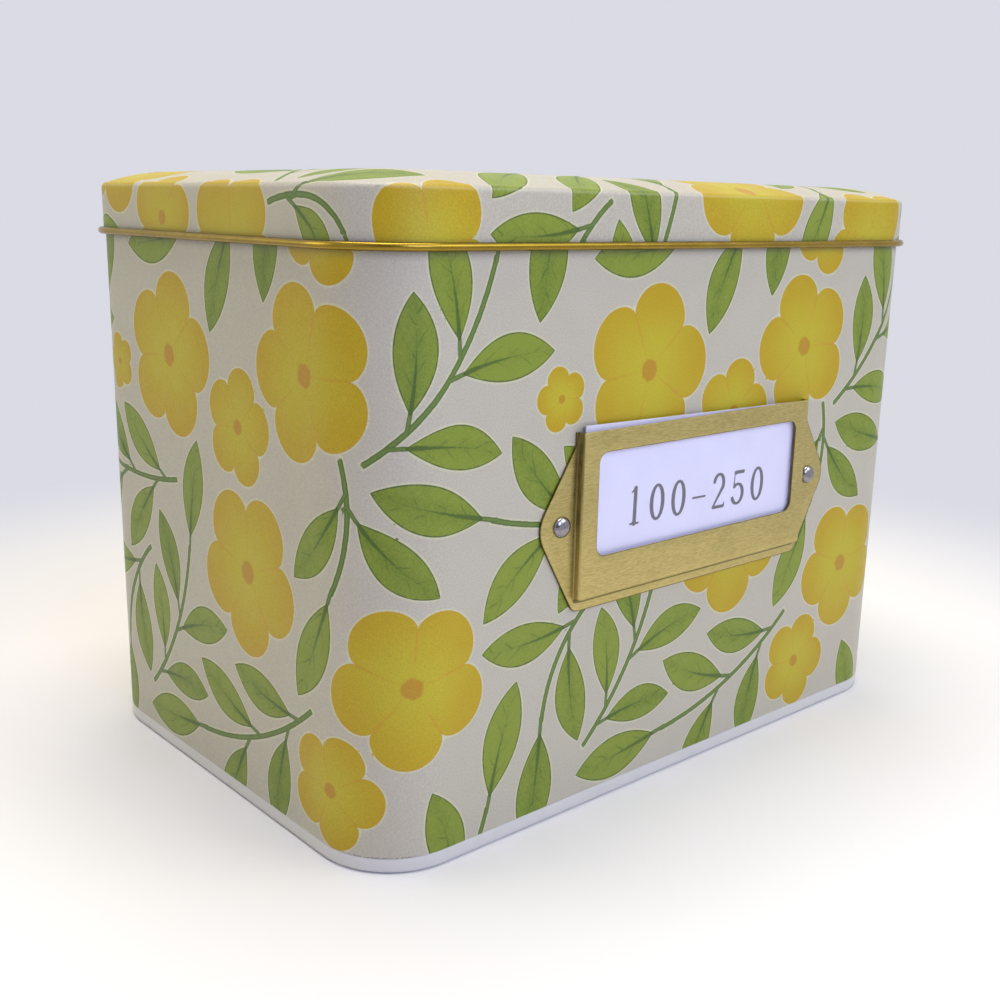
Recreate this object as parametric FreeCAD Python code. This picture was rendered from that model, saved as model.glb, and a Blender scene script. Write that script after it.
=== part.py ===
import FreeCAD
import Part
import math
import os

# Index card box: a printed tinplate box with a hinged lid, a brass label holder
# riveted to its front, and a file of cards and tabbed dividers inside.
# The origin is the middle of the underside. X runs along the front, Y towards
# the back, Z up. All lengths are in millimetres.

# Tin body
body_width = 165.0
body_depth = 112.0
body_height = 123.5
corner_radius = 16.5
sheet = 0.3
seat_gap = 0.05
overrun = 1.0

# Neck that the lid goes over, and the hem folded inwards along its edge. The slope
# to the neck ends neck_cover below the middle of the lid's rolled edge, which hides it.
neck_inset = 0.5
neck_slope_height = 0.55
neck_cover = 0.1
hem_height = 3.0
hem_edge_radius = 0.25

# Lock seam that joins the ends of the body sheet at the back
seam_width = 5.0
seam_thickness = 0.5
seam_inset = 0.8

# Base pan, rolled round the foot of the body
rim_height = 3.3
rim_foot_radius = 0.55
floor_height = 1.9
floor_margin = 9.0
floor_step = 0.7
floor_step_width = 1.2

# Lid
lid_sheet = 0.3
lid_side_gap = 0.1
lid_seat_gap = 0.3
skirt_depth = 10.2
roll_radius = 0.75
lid_edge_radius = 1.2
crown_height = 2.5
crown_corner_radius = 1.8
crown_steps = 5

# Lid hinge
wire_radius = 0.4
wire_gap = 0.02
wire_end_margin = 3.0
strap_sheet = 0.3
strap_width = 10.0
strap_inset = 24.0
strap_drop = 9.0
strap_corner_radius = 2.0
notch_side_gap = 0.4
notch_top_gap = 0.35

# Label holder
holder_center_x = 1.0
holder_sheet = 0.45
holder_raise = 2.1
panel_width = 72.0
panel_bottom = 46.0
panel_top = 79.4
window_width = 63.0
window_bottom = 54.4
window_top = 75.1
window_radius = 2.2
flange_drop = 2.5
flange_radius = 2.5
ear_reach = 10.3
ear_height = 61.4
ear_top_drop = 2.9
ear_tip_radius = 6.0

# Holder rivets
rivet_spacing = 79.4
rivet_head_radius = 2.1
rivet_head_height = 1.1
rivet_shank_radius = 0.9
rivet_tail_radius = 1.7
rivet_tail_height = 0.5

# Label card
label_side_gap = 0.3
label_thickness = 0.35
label_show = 1.1
label_corner_radius = 0.8

# Card file
section_count = 8
lean_deg = 8.0
card_width = 152.4
card_height = 101.6
card_corner_radius = 3.0
pack_thickness = 4.2
divider_thickness = 0.45
divider_width = 154.0
divider_body_height = 103.5
tab_height = 10.0
tab_width = 46.0
tab_slope = 3.0
tab_corner_radius = 2.5
tab_places_shares = (-0.32, 0.0, 0.32)
section_gap = 0.35
pack_gap = 0.1
file_floor_gap = 0.2
file_back_gap = 0.4

# Derived places
half_width = body_width / 2
half_depth = body_depth / 2
lid_shoulder = body_height + lid_seat_gap + lid_sheet
roll_height = lid_shoulder - skirt_depth
roll_center_out = lid_side_gap + roll_radius
roll_bore_radius = roll_radius - lid_sheet
neck_top_of_slope = roll_height - neck_cover
hinge_y = half_depth + roll_center_out
floor_top = floor_height + sheet + floor_step
wall_foot = sheet + seat_gap
wall_foot_inset = sheet + seat_gap
file_foot = floor_top + file_floor_gap
slope = math.radians(lean_deg)


def vec(x, y, z):
    """Short form of a point."""
    return FreeCAD.Vector(x, y, z)


def line(start, end):
    """Straight edge between two points."""
    return Part.LineSegment(start, end).toShape()


def arc(start, middle, end):
    """Round edge through three points."""
    return Part.Arc(start, middle, end).toShape()


def sharp(points):
    """Corners (across, up, radius) with no rounding, from (across, up) pairs."""
    return [(across, up, 0) for across, up in points]


def rounded_face(corners):
    """Face in the XZ plane from corners (across, up, radius), each rounded by its radius."""
    edges = []
    starts = []
    ends = []
    count = len(corners)
    for index, (across, up, radius) in enumerate(corners):
        here = vec(across, 0, up)
        before = vec(corners[index - 1][0], 0, corners[index - 1][1])
        after = vec(corners[(index + 1) % count][0], 0, corners[(index + 1) % count][1])
        first = here
        last = here
        if radius > 0:
            to_before = (before - here).normalize()
            to_after = (after - here).normalize()
            half_angle = to_before.getAngle(to_after) / 2
            reach = radius / math.tan(half_angle)
            bisector = (to_before + to_after).normalize()
            center = here + bisector * (radius / math.sin(half_angle))
            first = here + to_before * reach
            last = here + to_after * reach
            edges.append(arc(first, center - bisector * radius, last))
        starts.append(first)
        ends.append(last)
    for index in range(count):
        edges.append(line(ends[index], starts[(index + 1) % count]))
    return Part.Face(Part.Wire(Part.__sortEdges__(edges)))


def ring_solid(profile):
    """Carry a profile round the box: straight along each side, turned at each corner.

    The profile's X is the distance outwards from the wall's outer face.
    """
    pieces = []
    for turn, reach, half_run in (
        (0, half_width, half_depth),
        (90, half_depth, half_width),
        (180, half_width, half_depth),
        (270, half_depth, half_width),
    ):
        run = half_run - corner_radius
        side = profile.copy()
        side.translate(vec(reach, -run, 0))
        straight = side.extrude(vec(0, 2 * run, 0))
        end = profile.copy()
        end.translate(vec(reach, run, 0))
        corner = end.revolve(vec(reach - corner_radius, run, 0), vec(0, 0, 1), 90)
        for piece in (straight, corner):
            piece.rotate(vec(0, 0, 0), vec(0, 0, 1), turn)
            pieces.append(piece)
    return pieces[0].multiFuse(pieces[1:]).removeSplitter()


def rounded_plate(width, depth, radius, bottom, top):
    """Flat plate with rounded corners, centred on the Z axis."""
    plate = Part.makeBox(width, depth, top - bottom, vec(-width / 2, -depth / 2, bottom))
    upright = [e for e in plate.Edges if abs(e.Vertexes[0].Z - e.Vertexes[-1].Z) > (top - bottom) / 2]
    return plate.makeFillet(radius, upright)


def inset_plate(inset, bottom, top):
    """Plate that follows the box's outline, set in from the wall's outer face."""
    return rounded_plate(
        body_width - 2 * inset, body_depth - 2 * inset, corner_radius - inset, bottom, top
    )


def front_plate(corners, near, far):
    """Plate parallel to the front wall from corners (x, z, radius).

    near and far are distances outwards from the wall's outer face.
    """
    plate = rounded_face(corners).extrude(vec(0, near - far, 0))
    plate.translate(vec(0, -half_depth - near, 0))
    return plate


def rectangle(center_x, width, bottom, top, radius):
    """Corner list of a rounded rectangle for front_plate."""
    left = center_x - width / 2
    right = center_x + width / 2
    return [(left, bottom, radius), (right, bottom, radius), (right, top, radius), (left, top, radius)]


def make_body_wall():
    """Printed wall: foot inside the base roll, necked top with a folded hem, lock seam."""
    slope_foot = neck_top_of_slope - neck_slope_height
    neck_in = -neck_inset - sheet
    hem_in = neck_in - sheet
    foot_in = -wall_foot_inset - sheet
    foot_step = rim_height + sheet
    wall = ring_solid(rounded_face(
        sharp([
            (-wall_foot_inset, wall_foot),
            (-wall_foot_inset, rim_height),
            (0, rim_height),
            (0, slope_foot),
            (-neck_inset, neck_top_of_slope),
        ])
        + [(-neck_inset, body_height, hem_edge_radius), (hem_in, body_height, hem_edge_radius)]
        + sharp([
            (hem_in, body_height - hem_height),
            (neck_in, body_height - hem_height),
            (neck_in, neck_top_of_slope),
            (-sheet, slope_foot),
            (-sheet, foot_step),
            (foot_in, foot_step),
            (foot_in, wall_foot),
        ])
    ))
    seam_foot = floor_top + seam_inset
    seam_top = slope_foot - seam_inset
    seam = Part.makeBox(
        seam_width, seam_thickness + sheet / 2, seam_top - seam_foot,
        vec(-seam_width / 2, half_depth - sheet - seam_thickness, seam_foot)
    )
    wall = wall.fuse(seam).removeSplitter()
    for place in rivet_places():
        wall = wall.cut(front_hole(place, rivet_shank_radius + seat_gap))
    return wall


def make_base_pan():
    """White pan: a roll round the foot of the wall and a floor with a pressed step."""
    channel_out = seat_gap - wall_foot_inset
    channel_in = -wall_foot_inset - sheet - seat_gap
    leg_in = channel_in - sheet
    channel_foot = wall_foot - seat_gap
    floor_up = floor_height + sheet
    step_inset = floor_margin + floor_step_width
    rim = ring_solid(rounded_face(
        [(0, 0, rim_foot_radius)]
        + sharp([
            (leg_in, 0),
            (leg_in, floor_height),
            (-floor_margin, floor_height),
            (-step_inset, floor_height + floor_step),
            (-step_inset, floor_up + floor_step),
            (-floor_margin, floor_up),
            (channel_in, floor_up),
            (channel_in, channel_foot),
            (channel_out, channel_foot),
            (channel_out, rim_height - seat_gap),
            (0, rim_height - seat_gap),
        ])
    ))
    middle = inset_plate(step_inset, floor_height + floor_step, floor_up + floor_step)
    return rim.fuse(middle).removeSplitter()


def crown_curve(drop):
    """Profile points of the lid's crown, from its rounded edge up to the flat middle."""
    start_out = lid_side_gap + lid_sheet - lid_edge_radius
    end_out = crown_corner_radius - corner_radius
    points = []
    for step in range(crown_steps + 1):
        share = step / crown_steps
        rise = crown_height * (1 - (1 - share) ** 2)
        points.append((start_out + (end_out - start_out) * share, lid_shoulder + rise - drop))
    return points


def lid_profile():
    """Profile of the lid: crown, rounded edge, skirt, and the rolled edge with its bore."""
    inner = lid_side_gap
    outer = lid_side_gap + lid_sheet
    edge_out = outer - lid_edge_radius
    edge_up = lid_shoulder - lid_edge_radius
    turn = 1 / math.sqrt(2)
    inner_radius = lid_edge_radius - lid_sheet
    roll_meet = math.sqrt(roll_radius ** 2 - (roll_center_out - outer) ** 2)
    top = [vec(out, 0, up) for out, up in crown_curve(0)]
    under = [vec(out, 0, up) for out, up in crown_curve(lid_sheet)]
    edges = [
        line(vec(inner, 0, roll_height), vec(inner, 0, edge_up)),
        arc(
            vec(inner, 0, edge_up),
            vec(edge_out + inner_radius * turn, 0, edge_up + inner_radius * turn),
            under[0],
        ),
    ]
    for index in range(crown_steps):
        edges.append(line(under[index], under[index + 1]))
        edges.append(line(top[index], top[index + 1]))
    edges.append(line(under[-1], top[-1]))
    edges.append(arc(
        top[0],
        vec(edge_out + lid_edge_radius * turn, 0, edge_up + lid_edge_radius * turn),
        vec(outer, 0, edge_up),
    ))
    edges.append(line(vec(outer, 0, edge_up), vec(outer, 0, roll_height + roll_meet)))
    edges.append(arc(
        vec(outer, 0, roll_height + roll_meet),
        vec(roll_center_out + roll_radius * turn, 0, roll_height + roll_radius * turn),
        vec(roll_center_out + roll_radius, 0, roll_height),
    ))
    edges.append(arc(
        vec(roll_center_out + roll_radius, 0, roll_height),
        vec(roll_center_out, 0, roll_height - roll_radius),
        vec(inner, 0, roll_height),
    ))
    outline = Part.Wire(Part.__sortEdges__(edges))
    bore = Part.Wire(Part.makeCircle(
        roll_bore_radius, vec(roll_center_out, 0, roll_height), vec(0, 1, 0)
    ))
    return Part.Face(outline).cut(Part.Face(bore)).Faces[0]


def strap_places():
    """X of the middle of each hinge strap, strap_inset in from the round corner."""
    middle = half_width - corner_radius - strap_inset
    return (-middle, middle)


def make_lid_shell():
    """Lid with a crowned top, a skirt, and a rolled edge notched for the hinge straps."""
    lid = ring_solid(lid_profile())
    middle = inset_plate(
        corner_radius - crown_corner_radius,
        lid_shoulder + crown_height - lid_sheet,
        lid_shoulder + crown_height,
    )
    lid = lid.fuse(middle).removeSplitter()
    notch_width = strap_width + 2 * notch_side_gap
    notch_top = roll_height + roll_radius + notch_top_gap
    notch_foot = roll_height - roll_radius - overrun
    for place in strap_places():
        lid = lid.cut(Part.makeBox(
            notch_width, roll_center_out + roll_radius + 2 * overrun, notch_top - notch_foot,
            vec(place - notch_width / 2, half_depth - overrun, notch_foot)
        ))
    return lid


def make_hinge_wire():
    """Steel wire that runs in the back of the lid's rolled edge."""
    half_length = half_width - corner_radius - wire_end_margin
    return Part.makeCylinder(
        wire_radius, 2 * half_length, vec(-half_length, hinge_y, roll_height), vec(1, 0, 0)
    )


def make_hinge_strap(place):
    """Strap looped round the wire, its leg flat on the back wall."""
    bore = wire_radius + wire_gap
    loop_radius = bore + strap_sheet
    left = place - strap_width / 2
    loop = Part.makeCylinder(loop_radius, strap_width, vec(left, hinge_y, roll_height), vec(1, 0, 0))
    leg = Part.makeBox(
        strap_width, strap_sheet, strap_drop,
        vec(left, hinge_y - loop_radius, roll_height - strap_drop)
    )
    foot_edges = [
        e for e in leg.Edges
        if abs(e.Vertexes[0].Y - e.Vertexes[-1].Y) > strap_sheet / 2
        and e.Vertexes[0].Z < roll_height - strap_drop / 2
    ]
    leg = leg.makeFillet(strap_corner_radius, foot_edges)
    hole = Part.makeCylinder(bore, strap_width, vec(left, hinge_y, roll_height), vec(1, 0, 0))
    return loop.fuse(leg).cut(hole).removeSplitter()


def rivet_places():
    """X of each holder rivet."""
    return (holder_center_x - rivet_spacing / 2, holder_center_x + rivet_spacing / 2)


def front_hole(place, radius):
    """Round cutter through the front wall and the holder's ears."""
    length = holder_raise + sheet + 2 * overrun
    return Part.makeCylinder(
        radius, length, vec(place, -half_depth - holder_raise - overrun, ear_height), vec(0, 1, 0)
    )


def make_label_holder():
    """Pressed holder: flat ears and foot strip, and a raised frame open at the top."""
    half_panel = panel_width / 2
    left = holder_center_x - half_panel
    right = holder_center_x + half_panel
    foot = panel_bottom - flange_drop
    ear_top = panel_top - ear_top_drop
    flat_near = seat_gap
    flat_far = seat_gap + holder_sheet
    flat = front_plate(
        [
            (left, foot, flange_radius),
            (right, foot, flange_radius),
            (right + ear_reach, ear_height, ear_tip_radius),
            (right, ear_top, 0),
            (left, ear_top, 0),
            (left - ear_reach, ear_height, ear_tip_radius),
        ],
        flat_near, flat_far,
    )
    raised = front_plate(
        rectangle(holder_center_x, panel_width, panel_bottom, panel_top, 0), flat_near, holder_raise
    )
    inside_bottom = panel_bottom + holder_sheet
    hollow = front_plate(
        rectangle(
            holder_center_x, panel_width - 2 * holder_sheet, inside_bottom, panel_top + overrun, 0
        ),
        flat_near - overrun, holder_raise - holder_sheet,
    )
    window = front_plate(
        rectangle(holder_center_x, window_width, window_bottom, window_top, window_radius),
        flat_near - overrun, holder_raise + overrun,
    )
    holder = flat.fuse(raised).cut(hollow).cut(window)
    for place in rivet_places():
        holder = holder.cut(front_hole(place, rivet_shank_radius + seat_gap))
    return holder.removeSplitter()


def make_rivet(place):
    """Dome-headed rivet through the holder's ear and the wall, its tail spread inside."""
    head_seat = -half_depth - 2 * seat_gap - holder_sheet
    tail_seat = -half_depth + sheet + seat_gap
    dome_radius = (rivet_head_radius ** 2 + rivet_head_height ** 2) / (2 * rivet_head_height)
    ball = Part.makeSphere(
        dome_radius, vec(place, head_seat + dome_radius - rivet_head_height, ear_height)
    )
    keep = Part.makeCylinder(
        dome_radius, rivet_head_height, vec(place, head_seat, ear_height), vec(0, -1, 0)
    )
    shank = Part.makeCylinder(
        rivet_shank_radius, tail_seat - head_seat, vec(place, head_seat, ear_height), vec(0, 1, 0)
    )
    tail = Part.makeCylinder(
        rivet_tail_radius, rivet_tail_height, vec(place, tail_seat, ear_height), vec(0, 1, 0)
    )
    return ball.common(keep).multiFuse([shank, tail]).removeSplitter()


def make_label_card():
    """Card that slides down into the holder from above and shows in its window."""
    width = panel_width - 2 * (holder_sheet + label_side_gap)
    bottom = panel_bottom + holder_sheet + label_side_gap
    middle = (holder_raise - holder_sheet) / 2
    return front_plate(
        rectangle(holder_center_x, width, bottom, panel_top + label_show, label_corner_radius),
        middle - label_thickness / 2, middle + label_thickness / 2,
    )


def leaning_slab(foot_y, thickness, outline):
    """Slab that leans back, cut to a flat outline (x, height along the slab, radius).

    Its foot and top are level, and foot_y is its front foot edge.
    """
    widths = [across for across, up, radius in outline]
    tall = max(up for across, up, radius in outline)
    run = thickness / math.cos(slope)
    back = tall * math.sin(slope)
    rise = tall * math.cos(slope)
    side = Part.Face(Part.makePolygon([
        vec(min(widths), foot_y, file_foot),
        vec(min(widths), foot_y + run, file_foot),
        vec(min(widths), foot_y + run + back, file_foot + rise),
        vec(min(widths), foot_y + back, file_foot + rise),
        vec(min(widths), foot_y, file_foot),
    ]))
    slab = side.extrude(vec(max(widths) - min(widths), 0, 0))
    level = [
        (across, file_foot + up * math.cos(slope), radius) for across, up, radius in outline
    ]
    return slab.common(front_plate(level, -body_depth, 0))


def section_pitch():
    """Distance along Y from one section of the file to the next."""
    return (divider_thickness + pack_gap + pack_thickness + section_gap) / math.cos(slope)


def file_front():
    """Y of the foot of the front divider: the last pack leans on the box's back corners."""
    inner_radius = corner_radius - sheet
    into_corner = max(card_width / 2 - (half_width - corner_radius), 0)
    corner_drop = inner_radius - math.sqrt(max(inner_radius ** 2 - into_corner ** 2, 0))
    back_limit = half_depth - sheet - corner_drop - file_back_gap
    return back_limit - card_height * math.sin(slope) - section_count * section_pitch()


def make_divider(index):
    """Stiff divider with a tab, whose place steps from left to right."""
    half = divider_width / 2
    place = tab_places_shares[index % len(tab_places_shares)] * divider_width
    left = place - tab_width / 2
    right = place + tab_width / 2
    peak = divider_body_height + tab_height
    return leaning_slab(file_front() + index * section_pitch(), divider_thickness, [
        (-half, 0, 0),
        (half, 0, 0),
        (half, divider_body_height, card_corner_radius),
        (right + tab_slope, divider_body_height, 0),
        (right, peak, tab_corner_radius),
        (left, peak, tab_corner_radius),
        (left - tab_slope, divider_body_height, 0),
        (-half, divider_body_height, card_corner_radius),
    ])


def make_card_pack(index):
    """Pack of cards that stands behind its divider."""
    half = card_width / 2
    behind = (divider_thickness + pack_gap) / math.cos(slope)
    return leaning_slab(file_front() + index * section_pitch() + behind, pack_thickness, [
        (-half, 0, 0),
        (half, 0, 0),
        (half, card_height, card_corner_radius),
        (-half, card_height, card_corner_radius),
    ])


def build():
    """Make every piece under its node name."""
    pieces = {
        "body_wall": make_body_wall(),
        "base_pan": make_base_pan(),
        "lid_shell": make_lid_shell(),
        "hinge_wire": make_hinge_wire(),
        "label_holder": make_label_holder(),
        "label_card": make_label_card(),
    }
    for side, strap_x, rivet_x in zip(("left", "right"), strap_places(), rivet_places()):
        pieces["hinge_strap_" + side] = make_hinge_strap(strap_x)
        pieces["holder_rivet_" + side] = make_rivet(rivet_x)
    for index in range(section_count):
        number = str(index + 1)
        pieces["divider_" + number] = make_divider(index)
        pieces["card_pack_" + number] = make_card_pack(index)
    return pieces


os.makedirs("parts", exist_ok=True)
for node, shape in build().items():
    if shape.ShapeType == "Compound" and len(shape.Solids) == 1:
        shape = shape.Solids[0]
    print(node, shape.ShapeType, shape.isValid(), len(shape.Solids), round(shape.Volume, 2))
    shape.exportStep("parts/" + node + ".step")
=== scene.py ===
"""Looks of the index card box: printed tin, hinged lid, label holder and card file.

Lengths are millimetres until a mesh is made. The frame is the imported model's: its
origin is the middle of the underside, X runs along the front, Y towards the back
and Z up.
"""

import logging
import math
from dataclasses import dataclass, field
from enum import Enum

import bmesh
import bpy
import numpy as np
from mathutils import Matrix, Vector


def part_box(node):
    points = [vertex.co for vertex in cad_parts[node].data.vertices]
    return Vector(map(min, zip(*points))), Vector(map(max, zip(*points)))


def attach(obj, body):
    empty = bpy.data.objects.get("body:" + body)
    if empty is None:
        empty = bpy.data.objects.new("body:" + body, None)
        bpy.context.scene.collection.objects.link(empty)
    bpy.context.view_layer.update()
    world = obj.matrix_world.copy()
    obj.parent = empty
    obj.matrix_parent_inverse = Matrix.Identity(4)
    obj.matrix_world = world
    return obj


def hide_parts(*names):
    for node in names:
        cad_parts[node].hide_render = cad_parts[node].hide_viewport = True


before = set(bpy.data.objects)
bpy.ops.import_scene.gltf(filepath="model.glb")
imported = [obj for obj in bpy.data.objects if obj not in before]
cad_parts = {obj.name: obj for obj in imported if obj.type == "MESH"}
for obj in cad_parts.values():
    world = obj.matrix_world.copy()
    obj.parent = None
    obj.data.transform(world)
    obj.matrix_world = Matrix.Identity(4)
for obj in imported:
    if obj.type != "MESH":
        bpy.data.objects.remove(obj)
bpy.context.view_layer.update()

MM = 0.001
FAR = 1000.0
MIRROR = np.array([-1.0, 1.0])
Array = np.ndarray
Socket = bpy.types.NodeSocket
Material = bpy.types.Material
Colour = tuple[float, float, float, float]
log = logging.getLogger("card_box")


class Body(Enum):
    """Bodies that the pieces ride on."""

    TIN = "tin"
    LID = "lid"
    LABEL = "label"


class Slot(Enum):
    """Material slots of the record, one for each kind of new piece."""

    PRINT = "printed_tin"
    ENAMEL = "white_enamel"
    GOLD = "gold_lacquer"
    BRASS = "holder_brass"
    RIVET = "rivet_steel"
    LABEL = "label_paper"
    BOARD = "divider_board"
    CARD = "card_paper"


def paint(red: float, green: float, blue: float) -> Colour:
    """Linear colour from display values of 0 to 255.

    Args:
        red, green, blue: display values.

    Returns:
        Linear red, green, blue and a full alpha.
    """
    shown = np.array([red, green, blue]) / 255.0
    linear = np.where(shown <= 0.04045, shown / 12.92, ((shown + 0.055) / 1.055) ** 2.4)
    return (*linear.tolist(), 1.0)


def node_box(node: str) -> tuple[Array, Array]:
    """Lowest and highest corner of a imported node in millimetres."""
    low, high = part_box(node)
    return np.array(low) / MM, np.array(high) / MM


def smooth_step(value: Array, start: float, end: float) -> Array:
    """0 before start, 1 after end, and 3t^2 - 2t^3 between them."""
    share = np.clip((value - start) / (end - start), 0.0, 1.0)
    return share * share * (3.0 - 2.0 * share)


class Value:
    """Number, colour or vector of a node tree. Arithmetic on it adds Math nodes."""

    def __init__(self, tree: "Tree", socket: Socket) -> None:
        """Keep the output socket of a node.

        Args:
            tree: tree of the node.
            socket: the output.
        """
        self.tree = tree
        self.socket = socket

    def math(self, operation: str, other: "Value | float" = 0.0) -> "Value":
        """Result of a Math node on this value and another."""
        return self.tree.math(operation, self, other)

    def __add__(self, other: "Value | float") -> "Value":
        """Sum of this value and another."""
        return self.math("ADD", other)

    def __sub__(self, other: "Value | float") -> "Value":
        """This value less another."""
        return self.math("SUBTRACT", other)

    def __rsub__(self, other: float) -> "Value":
        """A number less this value."""
        return self.tree.math("SUBTRACT", other, self)

    def __mul__(self, other: "Value | float") -> "Value":
        """Product of this value and another."""
        return self.math("MULTIPLY", other)

    def __neg__(self) -> "Value":
        """This value with its sign turned."""
        return self * -1.0

    def __abs__(self) -> "Value":
        """Size of this value without its sign."""
        return self.math("ABSOLUTE")

    def spread(self, start: float, end: float, low: float = 0.0, high: float = 1.0) -> "Value":
        """Eased from low where this value is start to high where it is end.

        Args:
            start, end: limits of this value.
            low, high: results at the limits and past them.

        Returns:
            The eased value.
        """
        node = self.tree.nodes.new("ShaderNodeMapRange")
        node.interpolation_type = "SMOOTHSTEP"
        limits = {"From Min": start, "From Max": end, "To Min": low, "To Max": high}
        self.tree.fill(node, {"Value": self, **limits})
        return Value(self.tree, node.outputs["Result"])

    def below(self, edge: float, soft: float) -> "Value":
        """1 where this value is under an edge, 0 over it, with a soft change."""
        return self.spread(edge - soft, edge + soft, 1.0, 0.0)


Input = Value | Socket | float | tuple


class Tree:
    """Node tree with short calls for the nodes that the finishes share."""

    def __init__(self, tree: bpy.types.NodeTree) -> None:
        """Empty a node tree.

        Args:
            tree: tree of a material or of the world.
        """
        self.nodes = tree.nodes
        self.links = tree.links
        self.nodes.clear()

    def fill(self, node: bpy.types.Node, inputs: dict[str | int, Input]) -> None:
        """Link each named or numbered input of a node, or set its own value."""
        for name, value in inputs.items():
            source = value.socket if isinstance(value, Value) else value
            if isinstance(source, Socket):
                self.links.new(source, node.inputs[name])
            else:
                node.inputs[name].default_value = source

    def node(self, kind: str, inputs: dict[str | int, Input] | None = None) -> bpy.types.Node:
        """New node of a kind, named without ShaderNode, with its inputs filled."""
        node = self.nodes.new("ShaderNode" + kind)
        self.fill(node, inputs or {})
        return node

    def math(self, operation: str, first: Input, second: Input = 0.0) -> Value:
        """Result of a Math node.

        Args:
            operation: name of the operation.
            first, second: its inputs.

        Returns:
            The result.
        """
        node = self.node("Math", {0: first, 1: second})
        node.operation = operation
        return Value(self, node.outputs[0])

    def blend(self, share: Input, first: Input, second: Input, kind: str = "MIX") -> Value:
        """Colour between two colours.

        Args:
            share: 0 for the first colour, 1 for the second.
            first, second: the colours.
            kind: name of the way of blending.

        Returns:
            The colour.
        """
        node = self.nodes.new("ShaderNodeMix")
        node.data_type = "RGBA"
        node.blend_type = kind
        self.fill(node, {0: share, 6: first, 7: second})
        return Value(self, node.outputs[2])

    def shown_rays(self) -> Value:
        """1 for a ray of the camera, of a mirror or through glass, 0 for scattered light."""
        rays = self.node("LightPath").outputs
        mirrored = self.math("MAXIMUM", rays["Is Camera Ray"], rays["Is Glossy Ray"])
        return mirrored.math("MAXIMUM", rays["Is Transmission Ray"])


class Shader(Tree):
    """Node tree of a material whose surface is one Principled shader."""

    def __init__(self, name: str) -> None:
        """Start a material.

        Args:
            name: name of the material.
        """
        self.material = bpy.data.materials.new(name)
        self.material.use_nodes = True
        super().__init__(self.material.node_tree)
        self.surface = self.node("BsdfPrincipled")
        self.output = self.node("OutputMaterial", {"Surface": self.surface.outputs["BSDF"]})
        self.place = self.node("TexCoord").outputs["Object"]

    def mark(self, name: str) -> list[Value]:
        """The three parts of a vector attribute of the mesh."""
        node = self.node("Attribute")
        node.attribute_name = name
        split = self.node("SeparateXYZ", {0: node.outputs["Vector"]})
        return [Value(self, output) for output in split.outputs]

    def noise(
        self, grain: float, detail: float = 2.0, rough: float = 0.5,
        stretch: tuple[float, float, float] = (1.0, 1.0, 1.0),
    ) -> Value:
        """Noise in the piece's own coordinates.

        Args:
            grain: size of a patch in millimetres.
            detail: number of finer layers.
            rough: strength of the finer layers.
            stretch: length of a patch along X, Y and Z as a multiple of grain.

        Returns:
            A value of about 0.5.
        """
        scale = tuple(1.0 / (grain * MM * factor) for factor in stretch)
        mapping = self.node("Mapping", {"Vector": self.place, "Scale": scale})
        layers = {"Scale": 1.0, "Detail": detail, "Roughness": rough}
        node = self.node("TexNoise", {"Vector": mapping.outputs[0], **layers})
        return Value(self, node.outputs["Fac"])

    def shade(self, colour: Input, value: Value, low: float, high: float) -> Value:
        """Colour made darker or lighter by a noise value of about 0.5."""
        level = value.spread(0.25, 0.75, low, high)
        grey = self.node("CombineColor", dict.fromkeys(range(3), level))
        return self.blend(1.0, colour, grey.outputs[0], "MULTIPLY")

    def bump(self, height: Value, strength: float, distance: float) -> Value:
        """Normal of a height field, whose 1 stands for a distance in millimetres."""
        inputs = {"Height": height, "Strength": strength, "Distance": distance * MM}
        return Value(self, self.node("Bump", inputs).outputs["Normal"])

    def finished(self, colour: Input, roughness: Input, more: dict[str, Input]) -> Material:
        """Fill the surface's inputs.

        Args:
            colour: base colour.
            roughness: roughness of 0 to 1.
            more: other inputs by name.

        Returns:
            The material.
        """
        self.fill(self.surface, {"Base Color": colour, "Roughness": roughness, **more})
        return self.material


@dataclass(frozen=True)
class LeafShape:
    """Outline of the print's leaves, as shares of a leaf's length.

    At a share a along a leaf its half width is aspect / 2 a^p (1 - a)^q over that
    product's peak.
    """

    base_power: float = 1.05
    tip_power: float = 0.95
    aspect: float = 0.39
    stalk: float = 0.12

    def peak(self) -> float:
        """Largest value of a^p (1 - a)^q."""
        share = self.base_power / (self.base_power + self.tip_power)
        return share ** self.base_power * (1 - share) ** self.tip_power

    def half(self, share: Array) -> Array:
        """Half width at shares within 0 to 1."""
        form = share ** self.base_power * (1 - share) ** self.tip_power
        return self.aspect / 2 * form / self.peak()


@dataclass(frozen=True)
class PetalShape:
    """Outline of the print's blossoms: radius middle + lobe cos(phase)^power."""

    petals: int = 5
    middle: float = 0.70
    lobe: float = 0.30
    power: float = 0.6


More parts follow.
